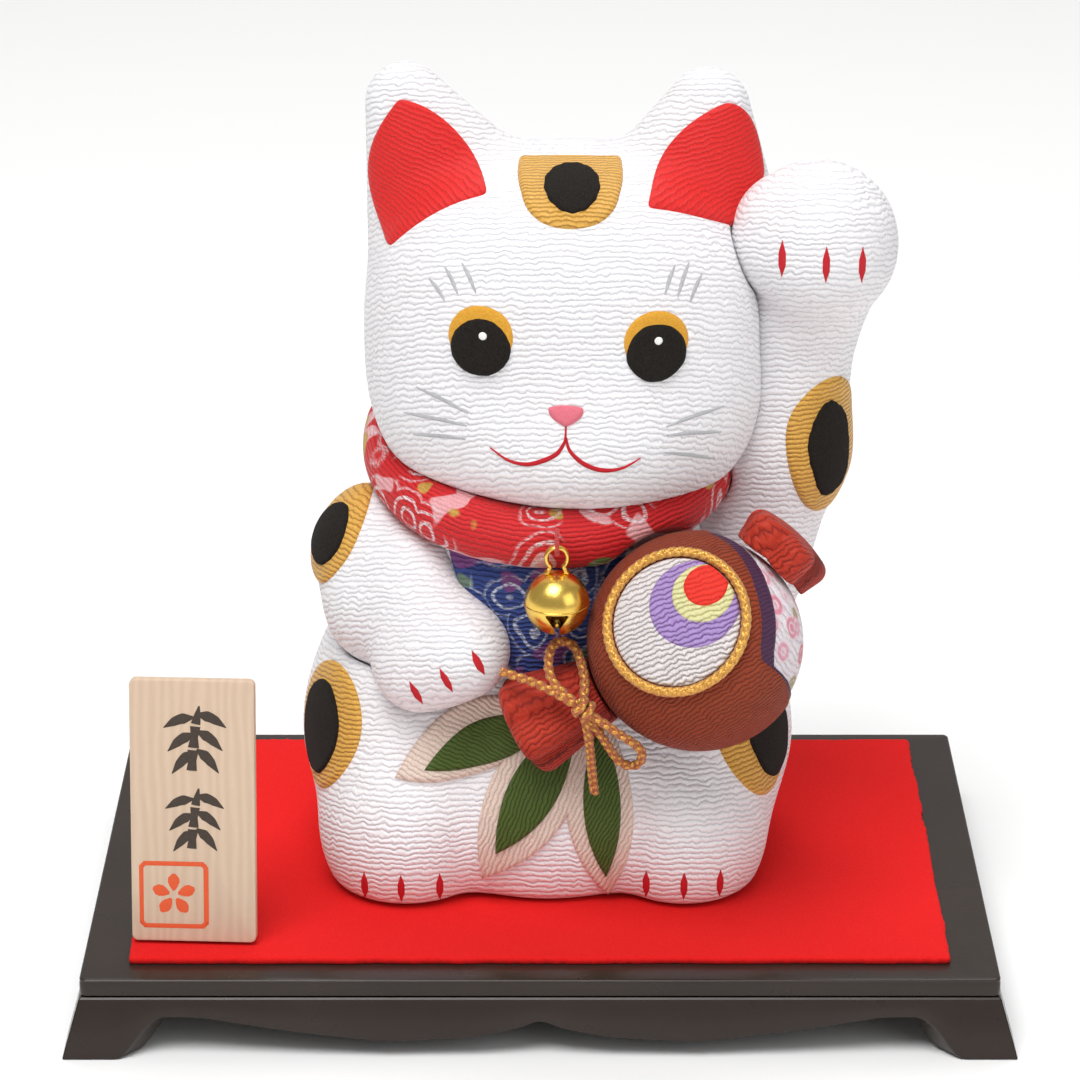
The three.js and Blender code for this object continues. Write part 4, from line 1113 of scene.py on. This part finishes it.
# Each stroke's path in X and Z, and its widths.
MOUTH = [
    ([(5, 119.6), (4.9, 117.6), (4.6, 116.4), (3.2, 114.4), (0.6, 112.9), (-2.6, 111.9), (-6.2, 112.3),
      (-9.6, 114.3)], (0.35, 0.45, 0.6, 0.85, 0.95, 0.85, 0.6, 0.2)),
    ([(5, 117.6), (5.8, 115.0), (8.6, 112.4), (12.2, 111.0), (16.0, 111.2), (19.4, 112.9)],
     (0.4, 0.7, 0.95, 0.95, 0.6, 0.2)),
]
WHISKERS = [
    [(-24.1, 124.6), (-13.9, 120.6)], [(-26.6, 118.5), (-14.1, 118.1)], [(-24.8, 114.1), (-14.4, 115.3)],
    [(35.9, 120.3), (24.4, 118.5)], [(35.4, 115.0), (24.4, 116.8)], [(34.2, 109.2), (24.1, 113.3)],
]
BROWS = [
    [(-21.4, 146.4), (-18.3, 142.6)], [(-18.3, 148.9), (-15.8, 144.2)], [(-15.0, 149.9), (-12.3, 144.7)],
    [(25.9, 149.3), (24.0, 144.2)], [(31.2, 147.1), (28.9, 142.3)], [(28.7, 149.6), (26.5, 143.6)],
]


def build_face():
    build_eye("eye_left", -11.4, 134.3)
    build_eye("eye_right", 22.4, 133.2)
    add_patch("nose_cloth", softened_outline(NOSE, 8), FRONT, head_field, "nose_pink_cloth", "nose", lift=0.9,
              rings=12, weave=90)
    add_strokes("mouth_line", MOUTH, head_field, "mouth_red", "mouth", 0.3)
    hairs = [([a, halfway(a, b, 0.35), b], (0.25, 0.8, 0.8, 0.3)) for a, b in WHISKERS + BROWS]
    add_strokes("whiskers_and_brows", hairs, head_field, "whisker_grey")


# Where they are, their centres in X and Z, direction, length and the field that they lie on.
CLAWS = [
    ("raised_paw", [(46.7, 149.7), (55.1, 149.1), (62.2, 148.4)], (0, 1), 7.4, raised_arm_field),
    ("resting_paw", [(-12.1, 72.1), (-18.4, 68.4), (-24.4, 64.7)], (0.42, -0.9), 6.0, resting_arm_field),
    ("left_foot", [(-35.2, 22.2), (-27.8, 22.6), (-20.1, 22.2)], (0, 1), 7.0, body_field),
    ("right_foot", [(21.3, 22.6), (28.8, 23.2), (36.1, 23.0)], (0, 1), 7.0, body_field),
]


def build_claws():
    for name, centres, direction, length, field in CLAWS:
        reach = vec(*direction) * length / 2
        marks = [([vec(*c) - reach, vec(*c), vec(*c) + reach], (0.05, 1.4, 1.4, 0.05)) for c in centres]
        add_strokes(f"claws_{name}", marks, field, "claw_red", (), 0.2)


def waves(angle, counts):
    return sum(rng.uniform(0.4, 1) * np.cos(k * angle + rng.uniform(0, 6)) for k in counts)


def build_collar():
    """A padded roll of printed cloth round the neck, slightly gathered and dented by the mallet."""
    count, sides = 360, 36
    u, w = around(count)[:, None], around(sides)[None, :]
    pucker = waves(u, (23, 31, 44, 61)) / 2.2
    soft = waves(u, (3, 5, 8)) / 2.0
    radius = COLLAR["tube"] + 0.10 * soft + 0.09 * pucker * np.abs(np.sin(w)) + 0.02 * np.cos(w * 2)
    out = COLLAR["radius"] + radius * np.sign(np.cos(w)) * np.abs(np.cos(w)) ** 0.92
    up = radius * np.sign(np.sin(w)) * np.abs(np.sin(w)) ** 0.85 * 1.04
    x, y, z = (k.reshape(-1, 1) for k in (out * np.cos(u), out * np.sin(u), up + 0 * u))
    points = NECK["centre"] + x * NECK_X + y * NECK_Y + z * NECK_Z
    dent = np.minimum(drum_field(points) - 1.9, 0)
    points = points - gradient(drum_field, points) * dent[:, None]
    folded = np.abs((w / math.pi + 0.5) % 2 - 1) * 17
    along, across = np.broadcast_arrays(COLLAR["radius"] * np.abs(u - math.pi), folded)
    cloth = np.column_stack([along.ravel(), across.ravel(), np.zeros(along.size)])
    faces = grid_faces(count, sides, ring_rows=True, flip=True)
    add_mesh("collar_roll", points, faces, "collar_print", "collar", cloth)


def build_bib():
    outline = softened_outline([(-20, 98, 0, 92), (16, 98, 19, 84), (14, 66, 4, 60), (-6, 66, -17, 78)])
    add_patch("bib_cloth", outline, FRONT, body_field, "bib_print", "bib", lift=0.7)


def leaf(root, tip, half_width):
    root, tip = vec(*root), vec(*tip)
    run = unit(tip - root)
    across = vec(-run[1], run[0]) * half_width * 2
    middle = root + (tip - root) * 0.5
    return curved([(*root, *(middle - across)), (*tip, *(middle + across))], 60)


# Name, height over the belly, weave, and the root, tip and half width of its border and its centre.
LEAVES = [
    ("left", 1.3, -25, ((4, 60), (-29, 45.1), 7.0), ((4, 57.5), (-23.7, 46.1), 4.6)),
    ("middle", 1.05, 70, ((8, 60), (-11.8, 22.8), 8.3), ((7, 57), (-9, 29), 5.0)),
    ("right", 0.8, 60, ((10, 60), (13.7, 18.3), 6.8), ((11.5, 55), (13.2, 23.4), 4.0)),
]


def build_leaves():
    for name, lift, weave, border, centre in LEAVES:
        for part, shape, colour, over in (("border", border, "cream", 0), ("centre", centre, "green", 0.7)):
            add_patch(f"leaf_{name}_{part}", leaf(*shape), FRONT, body_field, f"{colour}_crepe",
                      f"leaf_{name}_{colour}", lift=lift + over, rim=0.9, weave=weave)


# ---- the mallet ----

def drum_profile():
    """Along the drum from its front pole: distance run, radius, height and the outward normal."""
    t = np.linspace(0.001, math.pi - 0.001, 900)
    r = DRUM["radius"] * np.sin(t) ** (2 / DRUM["bulge"])
    z = DRUM["half"] * np.sign(np.cos(t)) * np.abs(np.cos(t)) ** (2 / DRUM["bulge"])
    run = lengths_along(np.column_stack([r, z]))
    return run, r, z, -np.gradient(z, run), np.gradient(r, run)


PROFILE = drum_profile()


def on_drum(angle, run, lift=0.0):
    """A point on the drum at an angle round its axis and a distance run over it from the front pole."""
    r, z, out, up = (np.interp(run, PROFILE[0], values) for values in PROFILE[1:])
    size = np.hypot(out, up)
    r, z = r + lift * out / size, z + lift * up / size
    ray = np.cos(angle)[..., None] * GRIP + np.sin(angle)[..., None] * SIDE
    return DRUM["centre"] + ray * r[..., None] + AXIS * z[..., None]


def run_to(radius):
    """The distance run to a radius on the drum's front half."""
    front = PROFILE[2] > 0
    return np.interp(radius, PROFILE[1][front], PROFILE[0][front])


def run_behind(depth):
    """The distance run to a depth behind the drum's middle."""
    return np.interp(depth, -PROFILE[2], PROFILE[0])


def cap_reach(angle):
    """How far over the drum the cap's edge reaches: right round it, except at a window on one side."""
    degrees = np.degrees((angle + math.pi) % WHOLE_TURN - math.pi)
    window = [(-57, 20.0), (-54, 17.2), (-46, 16.4), (-34, 16.2), (-18, 16.2), (-4, 16.5), (10, 17.3),
              (22, 18.1), (34, 18.9), (44, 19.5), (52, 20.5)]
    keys = [(-70, run_behind(8.0)), (-62, run_behind(1.0)), *((a, run_to(r)) for a, r in window),
            (60, run_behind(4.0)), (75, run_behind(8.0))]
    return np.interp(degrees, *zip(*keys))


def drum_patch(name, further, lift, look, node, rings=40, count=220):
    """Cloth over the front of the drum, as far as the cap's edge or further."""
    angle = around(count)
    reach = cap_reach(angle) + further
    points, flat = [on_drum(vec(0.0), vec(0.0), lift)], [np.zeros((1, 2))]
    for s in ring_levels(rings, 1.4):
        points.append(on_drum(angle, s * reach, rolled_edge((1 - s) * reach / 1.2, lift, 0.3)))
        flat.append(np.stack([np.cos(angle), np.sin(angle)], axis=1) * (s * reach)[:, None])
    cloth = flat_cloth(np.concatenate(flat))
    add_mesh(name, np.concatenate(points), fan_faces(count, rings), look, node, cloth)


def build_medallion():
    place = (DRUM["centre"], GRIP, SIDE, AXIS)
    for i, (name, look, radius, x, y) in enumerate((
            ("white", "medallion_crepe", 12.4, 0.5, 0.5), ("lilac", "lilac_crepe", 8.6, 5.2, 1.15),
            ("lime", "lime_crepe", 5.8, 7.55, 1.85), ("red", "medallion_red_crepe", 4.15, 8.7, 2.7))):
        from_ring = oval(radius, radius, x, y, 0.03) - MEDAL["middle"]
        size = np.linalg.norm(from_ring, axis=1, keepdims=True)
        outline = MEDAL["middle"] + from_ring * np.minimum(1, (MEDAL["inside"] - 0.1 * i) / size)
        add_patch(f"medallion_{name}_cloth", outline, place, drum_field, look, f"medallion_{name}",
                  lift=1.3 + 0.35 * i, rim=0.7, weave=-14, tuck=-0.6)
    angle = around(520)[:, None]
    circle = MEDAL["middle"] + MEDAL["ring"] * np.hstack([np.cos(angle), np.sin(angle)])
    laid = dropped(drum_field, on_plane(place, circle), -AXIS)
    points, faces, _ = joined(braid(laid + gradient(drum_field, laid) * 1.75, 0.98, 5.0, 6, closed=True))
    add_mesh("medallion_braid", points, faces, "gold_yarn", "medallion_ring_cord", points)


def drum_axes(p):
    q = p - DRUM["centre"]
    return q @ GRIP, q @ SIDE, q @ AXIS


def drum_weave(p):
    grip, side, axis = drum_axes(p)
    return np.column_stack([side, grip, axis])


def handle_weave(p):
    grip, side, axis = drum_axes(p)
    return np.column_stack([grip, np.arctan2(axis, side) * 7.0, axis])


def build_mallet():
    add_skin("mallet_drum_cloth", drum_field, "mallet_barrel", "mallet_print", drum_weave, 0.8)
    drum_patch("mallet_cap_cloth", 0, 0.95, "brown_crepe", "mallet_front_cap")
    drum_patch("mallet_trim_cloth", 3.4, 0.6, "purple_crepe", "mallet_trim")
    build_medallion()
    for end, field in zip(("lower", "upper"), HANDLES):
        add_skin(f"handle_{end}_cloth", carved(field, 0.5, grown(drum_field, 0.9)), f"mallet_handle_{end}",
                 "orange_crepe", handle_weave, 0.5)


KNOT = (8.3, -44.2, 66.3)
# Two loops and two loose ends, each from the knot.
BOW = [
    [(2.6, -40.5, 70.5), (1.7, -35.5, 73.6), (3.4, -32.5, 75.6), (6.7, -33, 74.8), (8.6, -38, 70.5), KNOT],
    [(0.4, -40.4, 69.6), (-7.6, -37, 71.3)],
    [(14.5, -43.6, 61.5), (19.6, -41.8, 56.8), (19.2, -39, 52.4), (15.8, -38.8, 52.8), (12, -41.6, 59.5),
     KNOT],
    [(9.5, -42.5, 59.5), (10.2, -37.2, 50.5), (10.8, -33.6, 43.8)],
]


def build_bow():
    pieces = []
    for path in BOW:
        pieces += braid(spline([KNOT, *path], 36), 0.95, 4.2)
    angle = around(90)[:, None]
    wrap = vec(*KNOT) + GRIP * 0.2 + 1.5 * np.cos(angle) * unit(vec(0.6, 0.2, 0.75))
    wrap = wrap + 1.3 * np.sin(angle) * vec(0, -1, 0)
    for shift in (-0.9, 0.9):
        pieces += braid(wrap + unit(vec(0.75, 0.1, -0.6)) * shift, 0.85, 4.2, closed=True)
    points, faces, part = joined(pieces)
    bow = add_mesh("bow_braid", points, faces, "gold_yarn orange_yarn", "bow_cord", points)
    bow.data.polygons.foreach_set("material_index", [k % 2 for k in part])


# ---- the bell ----

def add_spun(name, profile, replaces=()):
    """Gold in a closed profile of radius and height, turned about the bell's upright line."""
    angle = around(96)
    circle = np.column_stack([np.cos(angle), np.sin(angle)])
    points, faces = lofted([level(r * circle, z) + BELL["centre"] for r, z in profile], closed=True)
    return add_mesh(name, points, faces, "polished_gold", replaces, points, "bell")


def shell_profile(start, end):
    rays = [(math.cos(a), math.sin(a)) for a in np.radians(np.linspace(start, end, 22))]
    outer, inner = BELL["radius"], BELL["radius"] - BELL["wall"]
    return [(outer * x, outer * z) for x, z in rays] + [(inner * x, inner * z) for x, z in rays[::-1]]


def cut_slot(piece):
    """The bell's sound slot: a wedge-shaped mouth at the front and back, joined by a slit underneath."""
    outline = [(-2.3, -0.6), (-1.9, -0.35), (1.9, -0.35), (2.3, -0.6), (0.75, -3.2), (0.5, -3.9), (0.5, -9),
               (-0.5, -9), (-0.5, -3.9), (-0.75, -3.2)]
    rings = [[BELL["centre"] + vec(x, y, z) for x, z in outline] for y in (-9, 9)]
    cutter = new_object("mouth", *lofted(rings))
    modifier = piece.modifiers.new("slot", "BOOLEAN")
    modifier.object = cutter
    modifier.solver = "EXACT"
    bpy.context.view_layer.objects.active = piece
    bpy.ops.object.modifier_apply(modifier=modifier.name)
    bpy.data.objects.remove(cutter)


def build_bell():
    radius = BELL["radius"]
    upper = add_spun("bell_upper_gold", shell_profile(1.3, 86), "bell_upper_shell")
    lower = add_spun("bell_lower_gold", shell_profile(-89.5, -1.3), "bell_lower_shell")
    cut_slot(lower)
    for piece in (upper, lower):
        smooth_by_angle(piece, 40)
    bead = [(-0.1, -0.18), (0.14, -0.1), (0.18, 0), (0.14, 0.1), (-0.1, 0.18)]
    add_spun("bell_seam_bead", [(radius + out, z) for out, z in bead])
    recolour("bell_pellet", "polished_gold")
    build_bail()
    build_thread()


def build_bail():
    """A flat strap bent into an eye, its two feet spread on top of the bell."""
    c, r = BELL["centre"], BELL["bail"]
    middle = c + vec(0, 0, BELL["radius"] + GAP + 0.55 + r)
    angle = np.radians(np.linspace(-52, 232, 70))[:, None]
    eye = middle + r * (np.cos(angle) * vec(0.94, 0, 0) + np.sin(angle) * vec(0, 0, 1))
    foot, ankle = vec(2.3, 0, 6.2), vec(1.7, 0, 6.45)
    mirror = vec(-1, 1, 1)
    path = np.vstack([c + foot, c + ankle, eye, c + ankle * mirror, c + foot * mirror])
    run = np.gradient(path, axis=0)
    run /= np.linalg.norm(run, axis=1, keepdims=True)
    across = np.tile(vec(0, 1, 0), (len(path), 1))
    points, faces = swept(path, 0.46 * np.cross(run, across), across, 12)
    add_mesh("bell_bail_gold", points, faces, "polished_gold", "bell_bail", body="bell")


def build_thread():
    c, r = LOOP["centre"], LOOP["radius"]
    angle = around(120)[:, None]
    ring = c + r * (np.cos(angle) * vec(0, 1, 0) + np.sin(angle) * vec(0, 0, 1))
    stem = spline([c + vec(0, r + back, 0) for back in (-0.1, 2, 5.6)], 20)
    pieces = braid(ring, LOOP["thread"], 2.2, closed=True) + braid(stem, LOOP["thread"], 2.2)
    points, faces, _ = joined(pieces)
    add_mesh("thread_loop_yarn", points, faces, "red_thread", "bell_thread_loop", points, "bell_thread")


# ---- the studio ----

def build_studio():
    size = FLOOR_HALF / MM
    corners = [(-size, -size, 0), (size, -size, 0), (size, size, 0), (-size, size, 0)]
    floor = new_object("floor", corners, [range(4)])
    floor.data.materials.append(Graph("floor_paper", 0.9).finish(PAPER))
    world = bpy.data.worlds.new("studio")
    world.use_nodes = True
    background = world.node_tree.nodes["Background"]
    background.inputs[0].default_value = WORLD["colour"]
    background.inputs[1].default_value = WORLD["strength"]
    bpy.context.scene.world = world
    for name, place, power in LIGHTS:
        light = bpy.data.lights.new(name, "AREA")
        light.size = LIGHT_SIZE
        light.energy = power
        lamp = linked(name, light)
        lamp.location = place
        lamp.rotation_euler = (Vector(LIGHT_AIM) - Vector(place)).to_track_quat("-Z", "Y").to_euler()


def build_camera():
    camera = bpy.data.cameras.new("camera")
    camera.lens = CAMERA["lens"]
    camera.sensor_width = CAMERA["sensor"]
    camera.clip_end = CAMERA["reach"]
    holder = linked("camera", camera)
    holder.location = CAMERA["place"]
    holder.rotation_euler = (math.radians(90 - CAMERA["pitch"]), 0, 0)
    bpy.context.scene.camera = holder
    bpy.context.scene.view_settings.view_transform = "Standard"


build_camera()
build_studio()
build_board()
for turns, side in enumerate(("front", "right", "rear", "left")):
    length, depth = (BOARD["y"], BOARD["x"]) if turns % 2 else (BOARD["x"], BOARD["y"])
    build_apron(side, length, depth, turns)
build_mat()
build_tag()
build_skins()
build_spots()
build_ears()
build_face()
build_claws()
build_collar()
build_bib()
build_leaves()
build_mallet()
build_bow()
build_bell()
